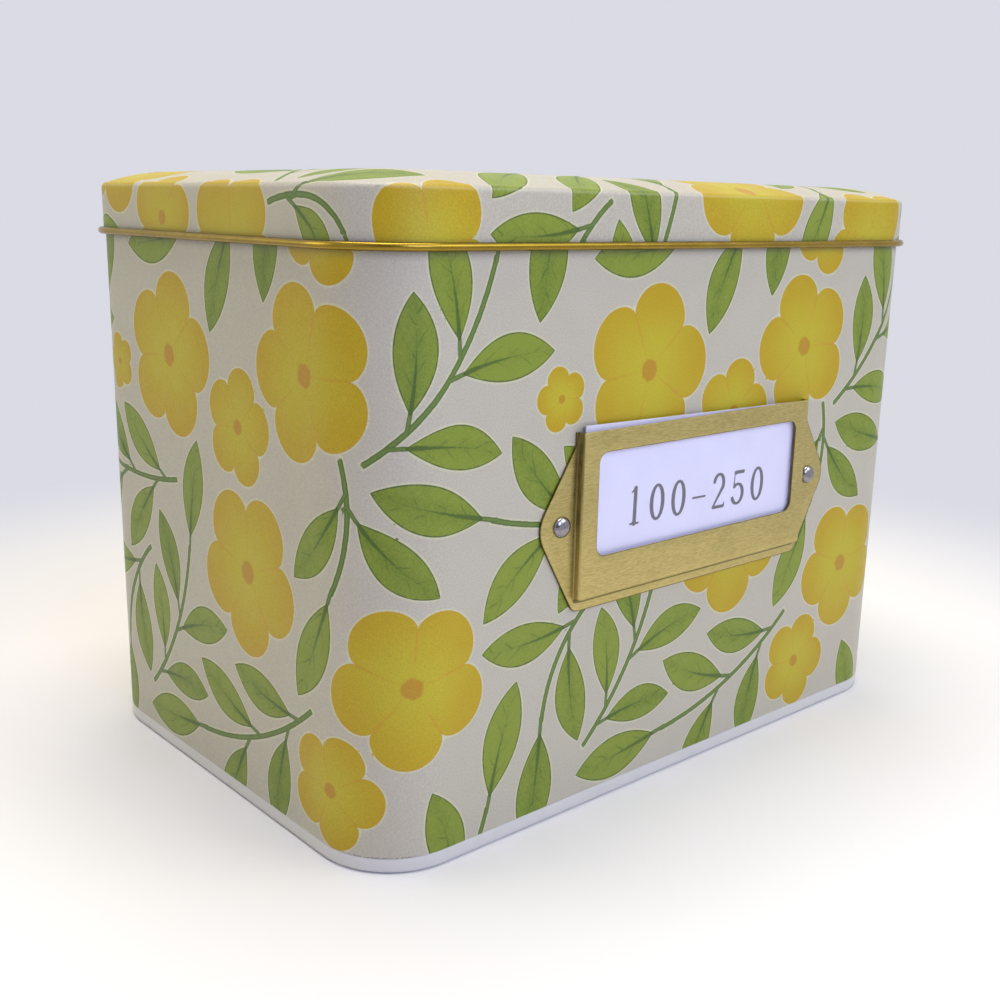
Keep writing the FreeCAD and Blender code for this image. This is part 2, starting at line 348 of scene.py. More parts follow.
@dataclass(frozen=True)
class PrintedTin:
    """Matte print of yellow blossoms and green sprigs on an off-white ground.

    The finish reads the motif marks of the mesh. Its drawn lines waver by the noise
    wobble, and each layer goes over the colour below it.
    """

    name: str = "printed_tin"
    leaf_shape: LeafShape = LeafShape()
    petal_shape: PetalShape = PetalShape()
    ground: Colour = paint(190, 183, 168)
    ground_shade: Colour = paint(184, 177, 161)
    halo: Colour = paint(214, 216, 168)
    leaf: Colour = paint(129, 144, 46)
    leaf_shade: Colour = paint(97, 118, 29)
    leaf_rib: Colour = paint(50, 80, 28)
    leaf_line: Colour = paint(70, 86, 38)
    stem: Colour = paint(100, 124, 56)
    petal: Colour = paint(186, 170, 36)
    petal_edge: Colour = paint(182, 150, 8)
    petal_line: Colour = paint(190, 142, 34)
    center: Colour = paint(180, 136, 30)
    worn: Colour = paint(232, 230, 226)
    grime: Colour = paint(96, 92, 80)
    halo_reach: float = 0.34
    halo_soft: float = 0.20
    halo_strength: float = 0.45
    stem_half: float = 0.56
    line_width: float = 0.30
    leaf_length: float = 25.0
    blossom_radius: float = 17.0
    ink_soft: float = 0.08
    rib_strength: float = 0.75
    vein_pitch: float = 4.2
    fold_strength: float = 0.30
    dust_strength: float = 0.42
    grime_strength: float = 0.75
    gloss: float = 0.40

    def material(self) -> Material:
        """Material that draws the print from the mesh's motif marks."""
        shader = Shader(self.name)
        mottle = shader.noise(3.0, 3.0, 0.6)
        wash = shader.noise(11.0)
        grain = shader.noise(0.28, 1.0, 0.6)
        # The wear mark: edge wear, the distance for the painted shadow under the lid, and the
        # distance for the painted highlight along the lid's fold.
        wear, lid_shade, fold = shader.mark("wear")
        wobble = shader.noise(1.3, 2.0, 0.6).spread(0.2, 0.8, -0.10, 0.10)
        colour = shader.blend(wash, self.ground, self.ground_shade)
        colour = self.halos(shader, colour)
        colour = self.stems(shader, colour, wobble)
        colour = self.leaves(shader, colour, mottle, wobble)
        colour = self.blossoms(shader, colour, wash, wobble)
        # Painted highlight: a pale line along the lid's rounded shoulder.
        colour = shader.blend(fold.below(0.10, 0.25) * self.fold_strength, colour, self.worn)
        # Painted shadow: a soft dark band on the wall just below the lid's rolled edge.
        colour = shader.blend(lid_shade.below(0.8, 1.3) * self.dust_strength, colour, self.grime)
        colour = self.worn_edge(shader, colour, wear)
        return shader.finished(
            shader.shade(colour, grain, 0.91, 1.09),
            mottle.spread(0.2, 0.8, 0.40, 0.52),
            {"Normal": shader.bump(grain, 0.35, 0.012), "Specular IOR Level": self.gloss},
        )

    def worn_edge(self, shader: Shader, colour: Value, wear: Value) -> Value:
        """Thin dark line along an edge, partly grime and partly painted shade, with chips of white
        where it is rubbed.
        """
        line = wear + shader.noise(0.8, 2.0, 0.7).spread(0.3, 0.7, -0.12, 0.12)
        # Dark line along the edge: grime in part, painted shade of the joint in part.
        colour = shader.blend(line.below(0.22, 0.14) * self.grime_strength, colour, self.grime)
        flecks = wear + shader.noise(0.55, 2.0, 0.7).spread(0.35, 0.65)
        return shader.blend(flecks.below(0.30, 0.10), colour, self.worn)

    def halos(self, shader: Shader, colour: Value) -> Value:
        """Pale rim of wash round every motif."""
        nearest = shader.mark("leaf")[2].math("MINIMUM", shader.mark("petal")[2])
        share = nearest.below(self.halo_reach, self.halo_soft) * self.halo_strength
        return shader.blend(share, colour, self.halo)

    def stems(self, shader: Shader, colour: Value, wobble: Value) -> Value:
        """Stems of the sprigs, darker along both edges."""
        offset, gap, _ = shader.mark("stem")
        side = abs(offset) + wobble * 0.5
        halo = side.below(self.stem_half + self.halo_reach, 0.22) * gap.below(1.5, 0.3) * 0.38
        colour = shader.blend(halo, colour, self.halo)
        shape = side.below(self.stem_half, self.ink_soft) * gap.below(self.stem_half + 0.45, 0.15)
        return shader.blend(shape, colour, self.stalk_colour(shader, side, self.stem_half))

    def stalk_colour(self, shader: Shader, side: Value, half: float) -> Value:
        """Colour across a stem or stalk of a given half width."""
        edge = side.spread(half * 0.30, half * 0.80) * 0.7
        return shader.blend(edge, self.stem, self.leaf_line)

    def leaves(self, shader: Shader, colour: Value, mottle: Value, wobble: Value) -> Value:
        """Leaf wash on its stalk, with a darker outline, midrib and side veins.

        Args:
            shader: the material under construction.
            colour: colour below the leaves.
            mottle: noise of the wash.
            wobble: small unevenness of drawn lines in millimetres.

        Returns:
            Colour with the leaves over it.
        """
        along, across, near = shader.mark("leaf")
        tone = shader.mark("stem")[2]
        form = self.leaf_shape
        side = abs(across) * self.leaf_length
        drawn = side + wobble * 0.6
        stalk_half = self.stem_half * 0.9
        stalk = (
            drawn.below(stalk_half, self.ink_soft)
            * along.below(0.12, 0.03)
            * (-along).below(form.stalk + 0.03, 0.01)
            * near.below(0.8, 0.1)
            * self.agree(side, near, 0.8)
        )
        colour = shader.blend(stalk, colour, self.stalk_colour(shader, drawn, stalk_half))
        inner = along.math("MINIMUM", 0.9995).math("MAXIMUM", 0.0005)
        powers = inner.math("POWER", form.base_power) * (1.0 - inner).math("POWER", form.tip_power)
        half = powers * (self.leaf_length * form.aspect / 2 / form.peak())
        gap = (side - half) * 0.93
        shape = gap.below(0.0, self.ink_soft) * near.below(0.3, 0.1) * self.agree(gap, near, 1.3)
        granules = shader.noise(0.36, 2.0, 0.7).spread(0.3, 0.7, -0.26, 0.26)
        depth = mottle * 0.5 + tone + granules + side.below(1.4, 1.4) * 0.25
        wash = shader.blend(depth.spread(0.0, 1.2), self.leaf, self.leaf_shade)
        outline = (abs(gap + 0.14) + wobble).below(self.line_width * 0.5, 0.10) * 0.85
        wash = shader.blend(outline, wash, self.leaf_line)
        taper = along.spread(-0.1, 0.90, 0.56, -0.12)
        rib = (side + wobble - taper).below(0.0, 0.22) * self.rib_strength
        lines = rib.math("MAXIMUM", self.veins(shader, along, across, side))
        return shader.blend(shape, colour, shader.blend(lines, wash, self.leaf_rib))

    @staticmethod
    def agree(gap: Value, near: Value, limit: float) -> Value:
        """1 where two readings of a distance agree; they differ between two motifs."""
        return abs(gap - near).below(limit, 0.2)

    def veins(self, shader: Shader, along: Value, across: Value, side: Value) -> Value:
        """Share of the fine side veins, which differ in length and strength."""
        drift = shader.noise(6.0).spread(0.25, 0.75, -0.22, 0.22)
        run = along * self.vein_pitch + (drift + across.math("GREATER_THAN", 0.0) * 0.45)
        wave = abs((run - side * 0.24).math("FRACT") - 0.5)
        strength = shader.noise(2.6, 2.0, 0.6).spread(0.36, 0.60, 0.12, 0.62)
        return wave.below(0.035, 0.04) * side.below(2.3, 1.3) * strength

    def blossoms(self, shader: Shader, colour: Value, wash: Value, wobble: Value) -> Value:
        """Five-petal blossoms: light middle, deeper edge, petal seams and a small centre.

        Args:
            shader: the material under construction.
            colour: colour below the blossoms.
            wash: broad noise.
            wobble: small unevenness of drawn lines in millimetres.

        Returns:
            Colour with the blossoms over it.
        """
        across, up, near = shader.mark("petal")
        form = self.petal_shape
        radius = (across * across + up * up).math("SQRT")
        turn = up.math("ARCTAN2", across) * (form.petals / math.tau)
        phase = turn.math("FRACT") - 0.5
        lobe = (phase * math.pi).math("COSINE").math("MAXIMUM", 0.0001)
        edge_radius = lobe.math("POWER", form.power) * form.lobe + form.middle
        gap = (radius - edge_radius) * (self.blossom_radius * 0.9)
        shape = gap.below(0.0, self.ink_soft) * near.below(0.35, 0.1)
        seam = (0.5 - abs(phase)) * radius * 21.0
        deep = radius.spread(0.15, 1.0, 0.0, 0.85) + wash.spread(0.3, 0.7, -0.1, 0.15)
        fill = shader.blend(deep, self.petal, self.petal_edge)
        outline = (abs(gap + 0.16) + wobble).below(self.line_width * 0.5, 0.18) * 0.55
        line = (seam + wobble).below(0.20, 0.22) * radius.spread(0.10, 0.60, 0.15, 0.75)
        fill = shader.blend(outline.math("MAXIMUM", line), fill, self.petal_line)
        middle = (radius + wobble * 0.15).below(0.13, 0.02)
        return shader.blend(shape, colour, shader.blend(middle, fill, self.center))


@dataclass(frozen=True)
class Metal:
    """Bare, plated or lacquered metal with a fine drawn grain."""

    name: str
    light: Colour
    dark: Colour
    roughness: float
    grain: float = 0.5
    stretch: tuple[float, float, float] = (1.0, 1.0, 1.0)
    relief: float = 0.004
    uneven: float = 0.08
    # Paint shade into the folds and along the cut edge, from the crease mark.
    creased: bool = False
    tarnish: Colour = paint(56, 46, 22)

    def material(self) -> Material:
        """Material with grain in its colour, gloss and relief."""
        shader = Shader(self.name)
        drawn = shader.noise(self.grain, 3.0, 0.65, self.stretch)
        colour = shader.blend(drawn.spread(0.3, 0.7), self.dark, self.light)
        colour = shader.shade(colour, shader.noise(9.0, 3.0, 0.55), 0.94, 1.04)
        if self.creased:
            colour = self.creases(shader, colour)
        gloss = drawn.spread(0.25, 0.75, -self.uneven, self.uneven) + self.roughness
        relief = {"Normal": shader.bump(drawn, 0.5, self.relief)} if self.relief else {}
        return shader.finished(colour, gloss, {"Metallic": 1.0, **relief})

    def creases(self, shader: Shader, colour: Value) -> Value:
        """Painted shade in the piece's folds and along its cut edge, and a painted darker
        reflection up the holder's riser, from its crease mark.
        """
        riser_shade, fold, edge = shader.mark("crease")
        streaks = shader.noise(0.5, 2.0, 0.6, (1.0, 1.0, 8.0)).spread(0.3, 0.7, 0.60, 1.0)
        # Painted darker reflection up the riser, painted shade in the folds, painted shadow along
        # the cut edge.
        for share in (riser_shade * streaks, fold * 0.85, edge.below(0.16, 0.08) * 0.7):
            colour = shader.blend(share, colour, self.tarnish)
        return colour


@dataclass(frozen=True)
class Enamel:
    """Satin white coating, a little dull and rubbed."""

    name: str = "white_enamel"
    coat: Colour = paint(214, 211, 210)
    rubbed: Colour = paint(196, 194, 192)

    def material(self) -> Material:
        """Material with faint orange peel and rubbed patches."""
        shader = Shader(self.name)
        patches = shader.noise(7.0, 4.0, 0.6)
        peel = shader.noise(0.5)
        colour = shader.blend(patches.spread(0.45, 0.80, 0.0, 0.25), self.coat, self.rubbed)
        return shader.finished(
            shader.shade(colour, peel, 0.98, 1.01),
            patches.spread(0.3, 0.7, 0.30, 0.36),
            {"Normal": shader.bump(peel, 0.3, 0.01)},
        )


@dataclass(frozen=True)
class Paper:
    """Card or board with fibre, ink marks and optional ruled lines."""

    name: str
    sheet: Colour
    fibre: Colour
    ink: Colour = paint(84, 82, 80)
    ruled: bool = False
    rule: Colour = paint(150, 180, 205)
    head_rule: Colour = paint(205, 110, 110)
    rule_pitch: float = 6.35
    head_height: float = 88.9
    roughness: float = 0.7

    def material(self) -> Material:
        """Material that reads the mesh's ink mark: distance, height and edge."""
        shader = Shader(self.name)
        fibre = shader.noise(0.35, 3.0, 0.7)
        colour = shader.blend(fibre.spread(0.35, 0.75, 0.0, 0.8), self.sheet, self.fibre)
        colour = shader.shade(colour, shader.noise(14.0), 0.97, 1.02)
        ink_gap, height, edge = shader.mark("ink")
        if self.ruled:
            step = (self.head_height - height).math("DIVIDE", self.rule_pitch)
            line = abs((step + 0.5).math("FRACT") - 0.5).below(0.022, 0.012)
            line *= height.below(self.head_height - 2.0, 0.1)
            head = abs(height - self.head_height).below(0.18, 0.06)
            on_face = edge.below(0.5, 0.1) * 0.8
            colour = shader.blend(line * on_face, colour, self.rule)
            colour = shader.blend(head * on_face, colour, self.head_rule)
        colour = shader.blend(ink_gap.below(0.0, 0.05) * 0.9, colour, self.ink)
        return shader.finished(colour, self.roughness, {"Normal": shader.bump(fibre, 0.3, 0.02)})


@dataclass
class Patch:
    """Grid of points (rows, columns, 3) in millimetres, with its finish and marks."""

    points: Array
    finish: int = 0
    marks: dict[str, Array] = field(default_factory=dict)

    def mark(self, name: str) -> Array:
        """Values of a mark, one row a point, FAR where the patch has none."""
        if name in self.marks:
            return self.marks[name].reshape(-1, 3)
        return np.full((self.points[..., 0].size, 3), FAR)


@dataclass(frozen=True)
class Piece:
    """One visible piece: patches welded into a mesh that rides on a body."""

    name: str
    patches: list[Patch]
    weld_gap: float = 1e-4

    def weld(self) -> tuple[Array, Array, Array, Array]:
        """Join the patches' points and faces.

        Points that round to the same weld_gap become one. A quad that has lost one
        corner this way is kept as a triangle, its last corner written twice, and a
        quad that has lost more is left out.

        Returns:
            Points, faces of four indices, finish of each face, and the index of the
            stacked point that each point was taken from.
        """
        stacked = np.concatenate([patch.points.reshape(-1, 3) for patch in self.patches])
        quads, finishes, start = [], [], 0
        for patch in self.patches:
            rows, columns = patch.points.shape[:2]
            index = start + np.arange(rows * columns).reshape(rows, columns)
            corners = [index[:-1, :-1], index[:-1, 1:], index[1:, 1:], index[1:, :-1]]
            quads.append(np.stack(corners, axis=-1).reshape(-1, 4))
            finishes.append(np.full(len(quads[-1]), patch.finish))
            start += rows * columns
        keys = np.round(stacked / self.weld_gap).astype(np.int64)
        _, first, inverse = np.unique(keys, axis=0, return_index=True, return_inverse=True)
        quad = inverse.reshape(-1)[np.concatenate(quads)]
        finish = np.concatenate(finishes)
        same = quad == np.roll(quad, -1, axis=1)
        whole = ~same.any(axis=1)
        pinched = same.sum(axis=1) == 1
        triangle = quad[pinched][~same[pinched]].reshape(-1, 3)
        triangle = np.concatenate([triangle, triangle[:, 2:]], axis=1)
        faces = np.concatenate([quad[whole], triangle])
        return stacked[first], faces, np.concatenate([finish[whole], finish[pinched]]), first

    @staticmethod
    def turn_outwards(mesh: bpy.types.Mesh) -> None:
        """Make the faces of every closed shell of a mesh point outwards."""
        work = bmesh.new()
        work.from_mesh(mesh)
        bmesh.ops.recalc_face_normals(work, faces=work.faces)
        work.to_mesh(mesh)
        work.free()

    def make(
        self, body: str, slot: Slot, materials: list[Material], replaced: list[str],
        crease_deg: float = 35.0, closed: bool = True,
    ) -> bpy.types.Object:
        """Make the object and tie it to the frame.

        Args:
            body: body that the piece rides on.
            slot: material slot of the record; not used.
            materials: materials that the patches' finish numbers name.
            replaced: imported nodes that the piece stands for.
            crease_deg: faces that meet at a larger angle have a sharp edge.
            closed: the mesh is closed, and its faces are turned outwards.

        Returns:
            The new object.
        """
        points, faces, finish, first = self.weld()
        loops = [face[:3] if face[2] == face[3] else face for face in faces.tolist()]
        mesh = bpy.data.meshes.new(self.name)
        mesh.from_pydata((points * MM).tolist(), [], loops)
        if closed:
            self.turn_outwards(mesh)
        mesh.polygons.foreach_set("material_index", finish.astype(np.int32))
        for name in sorted({name for patch in self.patches for name in patch.marks}):
            values = np.concatenate([patch.mark(name) for patch in self.patches])[first]
            made = mesh.attributes.new(name, "FLOAT_VECTOR", "POINT")
            made.data.foreach_set("vector", values.astype(np.float32).ravel())
        mesh.shade_smooth()
        mesh.set_sharp_from_angle(angle=math.radians(crease_deg))
        mesh.validate()
        for material in materials:
            mesh.materials.append(material)
        made = bpy.data.objects.new(self.name, mesh)
        bpy.context.scene.collection.objects.link(made)
        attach(made, body)
        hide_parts(*replaced)
        log.info("%s: %d points, %d faces, on %s", self.name, len(points), len(loops), body)
        return made


def ray(turn: Array) -> Array:
    """Unit vectors (cos, sin) at angles in radians."""
    return np.stack([np.cos(turn), np.sin(turn)], axis=-1)


def straight(start: tuple[float, float], end: tuple[float, float], count: int) -> Array:
    """Evenly spaced points from start to end."""
    start, end = np.array(start), np.array(end)
    return start + (end - start) * np.linspace(0.0, 1.0, count)[:, None]


def travelled(line: Array) -> Array:
    """Distance along a line at each of its points."""
    return np.concatenate([[0.0], np.cumsum(np.linalg.norm(np.diff(line, axis=0), axis=1))])


def rounded(corners: list[tuple[float, float, float]], steps: int = 5) -> Array:
    """Open line through corners (across, up, radius), each cut by a round arc.

    The arc of radius r at a corner of half angle h starts r / tan h along both
    sides, about a centre r / sin h along the bisector.

    Args:
        corners: the corners in order.
        steps: number of divisions of an arc.

    Returns:
        Points (across, up).
    """
    places = np.array([corner[:2] for corner in corners], float)
    pieces = []
    for index, here in enumerate(places):
        radius = corners[index][2]
        if radius <= 0:
            pieces.append(here[None])
            continue
        before = places[index - 1] - here
        after = places[index + 1] - here
        before = before / np.linalg.norm(before)
        after = after / np.linalg.norm(after)
        half = math.acos(float(np.clip(before @ after, -1.0, 1.0))) / 2
        bisector = (before + after) / np.linalg.norm(before + after)
        center = here + bisector * radius / math.sin(half)
        sweep = np.linspace(-1.0, 1.0, steps + 1)[:, None] * (math.pi / 2 - half)
        sideways = after - bisector * (after @ bisector)
        sideways = sideways / np.linalg.norm(sideways)
        arc = np.sin(sweep) * sideways - np.cos(sweep) * bisector
        pieces.append(center + radius * arc)
    return np.concatenate(pieces)


def refined(line: Array, step: float) -> Array:
    """Line with extra points, evenly spaced, so that no stretch is longer than step."""
    lengths = np.linalg.norm(np.diff(line, axis=0), axis=1)
    parts = []
    for start, end, length in zip(line[:-1], line[1:], lengths):
        share = np.linspace(0.0, 1.0, max(1, math.ceil(length / step)), endpoint=False)
        parts.append(start + (end - start) * share[:, None])
    return np.concatenate(parts + [line[-1:]])


@dataclass(frozen=True)
class Outline:
    """Plan of the tin: a rectangle with round corners.

    A place along it is its arc length from the middle of the back, anticlockwise
    seen from above. Its centre of curvature and the angle of its outward normal
    both change linearly between the ends of the straights and the corners.
    """

    half_width: float
    half_depth: float
    radius: float

    def knots(self) -> tuple[Array, Array, Array]:
        """Arc length, centre and normal angle at the ends of straights and corners."""
        across = self.half_width - self.radius
        deep = self.half_depth - self.radius
        bend = self.radius * math.pi / 2
        corners = [(-across, deep), (-across, -deep), (across, -deep), (across, deep)]
        centers = np.array([(0, deep), *np.repeat(corners, 2, axis=0), (0, deep)], float)
        angles = np.repeat(np.arange(1, 6), 2) * math.pi / 2
        sides = [across, bend, 2 * deep, bend, 2 * across, bend, 2 * deep, bend, across]
        return np.cumsum([0, *sides]), centers, angles

    def length(self) -> float:
        """Length once round."""
        return float(self.knots()[0][-1])

    def stations(self, step: float, extra: Array | tuple = ()) -> Array:
        """Places all the way round, closed, with a place at each knot and extra place."""
        stops = np.unique(np.concatenate([self.knots()[0], extra]))
        return refined(stops[:, None], step)[:, 0]

    def normal(self, run: Array) -> tuple[Array, Array]:
        """Centre of curvature and outward normal at places along the outline."""
        runs, centers, angles = self.knots()
        center = np.stack([np.interp(run, runs, centers[:, k]) for k in range(2)], axis=-1)
        return center, ray(np.interp(run, runs, angles))

    def plan(self, run: Array, out: Array) -> Array:
        """Points (x, y) at distances outwards, one grid row for each row of out."""
        center, normal = self.normal(run)
        return center[None] + (self.radius + out)[..., None] * normal[None]

    def surface(self, run: Array, out: Array, up: Array) -> Array:
        """Grid of points: centre + (radius + out) normal.

        Args:
            run: places along the outline, one for each column.
            out: distance outwards, one for each row or for each point.
            up: height, as out.

        Returns:
            Points (rows, columns, 3).
        """
        grid = (len(out), len(run))
        out, up = (
            np.broadcast_to(value if np.ndim(value) == 2 else np.reshape(value, (-1, 1)), grid)
            for value in (out, up)
        )
        return np.concatenate([self.plan(run, out), up[..., None]], axis=-1)

    def disc(self, run: Array, edge: Array, count: int) -> Array:
        """Level grid from an edge (out, up) drawn in to the centre in count rows."""
        ring = self.surface(run, edge[:1], edge[1:])
        shrink = np.linspace(1.0, 0.0, count)[:, None, None] * np.array([1.0, 1.0, 0.0])
        return ring * (shrink + np.array([0.0, 0.0, 1.0]))


@dataclass(frozen=True)
class Blossom:
    """Blossom of the print: place, radius and turn on the tile."""

    across: float
    up: float
    radius: float
    turn_deg: float


@dataclass(frozen=True)
class Sprig:
    """Sprig of the print: a bowed stem with a leaf at its end and pairs along it."""

    across: float
    up: float
    heading_deg: float
    length: float
    bend_deg: float
    pairs: int
    first_pair: float
    leaf_length: float

    def on_stem(self, share: float) -> tuple[float, float, float]:
        """Place and heading at a share of the stem, a round arc in the sprig's frame."""
        bend = math.radians(self.bend_deg)
        turn = bend * share
        radius = self.length / bend
        return radius * math.sin(turn), radius * (1 - math.cos(turn)), turn

    def stem_gap(self, along: Array, left: Array) -> tuple[Array, Array]:
        """Offset sideways from the stem, and distance from it.

        The offset is the arc's radius less the distance from its centre. The distance
        is from the point of the arc at the nearest angle.

        Args:
            along, left: places in the sprig's frame.

        Returns:
            Offset and distance.
        """
        bend = math.radians(abs(self.bend_deg))
        radius = self.length / bend
        left = left * math.copysign(1.0, self.bend_deg)
        angle = np.clip(np.arctan2(along, radius - left), 0.0, bend)
        gap = np.hypot(along - radius * np.sin(angle), left - radius * (1 - np.cos(angle)))
        return radius - np.hypot(along, radius - left), gap

    def leaves(self, angle_deg: float, bow: float) -> list[tuple[float, ...]]:
        """Place, heading, length and bow of each leaf.

        Args:
            angle_deg: angle between the stem and the leaves of a pair.
            bow: bow of the leaves of a pair.

        Returns:
            One row a leaf, the one at the stem's end first.
        """
        last_pair, end_bow, stagger = 0.86, 0.06, 0.10
        rows = [(*self.on_stem(1.0), self.leaf_length, end_bow)]
        for pair in range(self.pairs):
            share = self.first_pair + (last_pair - self.first_pair) * pair / max(self.pairs, 1)
            length = self.leaf_length * (0.90 + 0.05 * pair)
            for side in (-1, 1):
                x, y, heading = self.on_stem(share + (stagger if side > 0 else 0.0))
                rows.append((x, y, heading + side * math.radians(angle_deg), length, -bow * side))
        return rows


@dataclass(frozen=True)
class FloralPrint:
    """Repeating print, worked out as distances in millimetres from its motifs."""

    tile_width: float
    tile_height: float = 104.0
    leaf_shape: LeafShape = LeafShape()
    petal_shape: PetalShape = PetalShape()
    leaf_angle_deg: float = 46.0
    leaf_bow: float = 0.16
    blossoms: tuple[Blossom, ...] = (
        Blossom(36.2, 91.4, 16.3, 72),
        Blossom(116.1, 89.7, 17.2, 41),
        Blossom(58.5, 36.6, 16.0, 13),
        Blossom(14.4, 50.3, 17.2, 18),
        Blossom(42.0, 14.8, 11.7, 30),
        Blossom(12.2, 78.7, 11.6, 41),
        Blossom(92.2, 86.0, 6.3, 70),
    )
    sprigs: tuple[Sprig, ...] = (
        Sprig(50.4, 77.6, 33.5, 43.1, 40.5, 2, 0.12, 23.1),
        Sprig(35.9, 28.3, 219.5, 45.6, -32.8, 2, 0.12, 23.8),
        Sprig(101.8, 14.1, 43.7, 41.2, 34.3, 2, 0.12, 21.9),
        Sprig(116.5, 63.5, 191.6, 40.8, -28.0, 2, 0.12, 23.3),
        Sprig(102.5, 45.5, 217.0, 26.9, 45.9, 1, 0.25, 23.8),
        Sprig(45.6, 77.2, 285.4, 24.0, -41.6, 1, 0.25, 23.2),
    )

    def local(
        self, across: Array, up: Array, motif: Blossom | Sprig, turn_deg: float, reach: float = 0.0
    ) -> tuple[Array, Array]:
        """Coordinates in the nearest copy of a motif's own frame.

        Args:
            across, up: places on the print.
            motif: the motif, with its place on the tile.
            turn_deg: the motif's heading.
            reach: distance along the heading of the motif's middle.

        Returns:
            Distance along the heading and to its left.
        """
        turn = math.radians(turn_deg)
        cos, sin = math.cos(turn), math.sin(turn)
        half_width, half_height = self.tile_width / 2, self.tile_height / 2
        dx = across - motif.across - reach * cos
        dy = up - motif.up - reach * sin
        dx = (dx + half_width) % self.tile_width - half_width
        dy = (dy + half_height) % self.tile_height - half_height
        return dx * cos + dy * sin + reach, dy * cos - dx * sin

    def leaf_gap(self, along: Array, left: Array, length: float, bow: float) -> list[Array]:
        """Coordinates on a leaf and signed distance from it and its stalk.

        The midrib and the stalk lie on the bow left = bow length a (1 - a) at a
        share a along the leaf.

        Args:
            along, left: places in the leaf's frame.
            length: the leaf's length.
            bow: rise of the midrib's bow as a share of the length, times 4.

        Returns:
            Share along the leaf, side of the midrib as a share of the length, and
            distance.
        """
        form = self.leaf_shape
        share = along / length
        bowed = np.clip(share, -0.3, 1.0)
        side = left / length - bow * bowed * (1 - bowed)
        inner = np.clip(share, 1e-3, 1 - 1e-3)
        half = form.half(inner)
        slope = half * (form.base_power / inner - form.tip_power / (1 - inner))
        gap = (np.abs(side) - half) / np.sqrt(1 + slope ** 2)
        past = np.maximum(np.maximum(-share - form.stalk, share - 1), 0)
        outside = (share < 0) | (share > 1)
        return [share, side, np.where(outside, np.hypot(past, side), gap) * length]

    def petal_gap(self, x: Array, y: Array, radius: float) -> Array:
        """Signed distance from a blossom."""
        form = self.petal_shape
        distance = np.hypot(x, y) + 1e-6
        turn = np.arctan2(y, x) * form.petals / math.tau
        phase = (turn - np.floor(turn) - 0.5) * math.pi
        lobe = np.clip(np.cos(phase), 1e-4, 1.0)
        edge = radius * (form.middle + form.lobe * lobe ** form.power)
        slope = radius * form.lobe * form.power * lobe ** (form.power - 1) * np.sin(phase)
        slope *= form.petals / 2 / np.maximum(distance, 1.0)
        return (distance - edge) / np.sqrt(1 + np.clip(slope, -2.0, 2.0) ** 2)

    @staticmethod
    def nearest(kept: list[Array], new: list[Array] | tuple) -> list[Array]:
        """Values of whichever motif is nearer, by the distance that comes last."""
        nearer = new[-1] < kept[-1]
        return [np.where(nearer, value, old) for value, old in zip(new, kept)]

    def marks(
        self, places: Array, wear: Array | float,
        lid_shade: Array | float = FAR, fold: Array | float = FAR,
    ) -> dict[str, Array]:
        """Marks that the printed finish reads, at places on the print.

        Args:
            places: grid of (across, up).
            wear: distance in millimetres from an edge where the print is rubbed, and grime and
                painted shade darken it.
            lid_shade: distance below the lid's edge for a painted shadow, FAR where there is none.
            fold: distance from a fold, for a pale painted highlight, FAR where there is none.

        Returns:
            stem (offset, distance, tone of the leaf), leaf (share along, side over
            length, distance), petal (place over radius, distance) and wear (wear,
            lid_shade: painted shadow under the lid, fold: painted highlight).
        """
        across, up = places[..., 0], places[..., 1]
        none = np.zeros(across.shape)
        stem, tone = [none, none + FAR], none
        leaf = petal = [none, none, none + FAR]
        for number, sprig in enumerate(self.sprigs):
            reach = (sprig.length + sprig.leaf_length) / 2
            x, y = self.local(across, up, sprig, sprig.heading_deg, reach)
            stem = self.nearest(stem, sprig.stem_gap(x, y))
            rows = sprig.leaves(self.leaf_angle_deg, self.leaf_bow)
            for order, (leaf_x, leaf_y, heading, length, bow) in enumerate(rows):
                cos, sin = math.cos(heading), math.sin(heading)
                along = (x - leaf_x) * cos + (y - leaf_y) * sin - self.leaf_shape.stalk * length
                left = (y - leaf_y) * cos - (x - leaf_x) * sin
                found = self.leaf_gap(along, left, length, bow)
                new_tone = 0.6 * ((order * 0.37 + number * 0.21) % 1.0) - 0.30
                tone = np.where(found[2] < leaf[2], new_tone, tone)
                leaf = self.nearest(leaf, found)
        for blossom in self.blossoms:
            x, y = self.local(across, up, blossom, blossom.turn_deg)
            gap = self.petal_gap(x, y, blossom.radius)
            petal = self.nearest(petal, (x / blossom.radius, y / blossom.radius, gap))
        edges = [np.broadcast_to(value, none.shape) for value in (wear, lid_shade, fold)]
        parts = {"stem": [*stem, tone], "leaf": leaf, "petal": petal, "wear": edges}
        return {name: np.stack(values, axis=-1) for name, values in parts.items()}


@dataclass(frozen=True)
class Tin:
    """Sizes that the tin's pieces share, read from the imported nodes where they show."""

    outline: Outline
    height: float
    rim_height: float = 3.3
    sheet: float = 0.3
    print_step: float = 1.0
    tiles_round: int = 4

    @classmethod
    def from_frame(cls, corner_radius: float = 16.5) -> "Tin":
        """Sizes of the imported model."""
        half_width, half_depth, height = (float(value) for value in node_box("body_wall")[1])
        return cls(Outline(half_width, half_depth, corner_radius), height)

    def floral(self) -> FloralPrint:
        """Print whose tiles go round the wall a whole number of times."""
        return FloralPrint(self.outline.length() / self.tiles_round)

    def corner_wear(self, run: Array) -> Array:
        """0 at the front left corner, rising to 1 away from it."""
        runs = self.outline.knots()[0]
        return smooth_step(np.abs(run - (runs[3] + runs[4]) / 2), 4.0, 17.0)


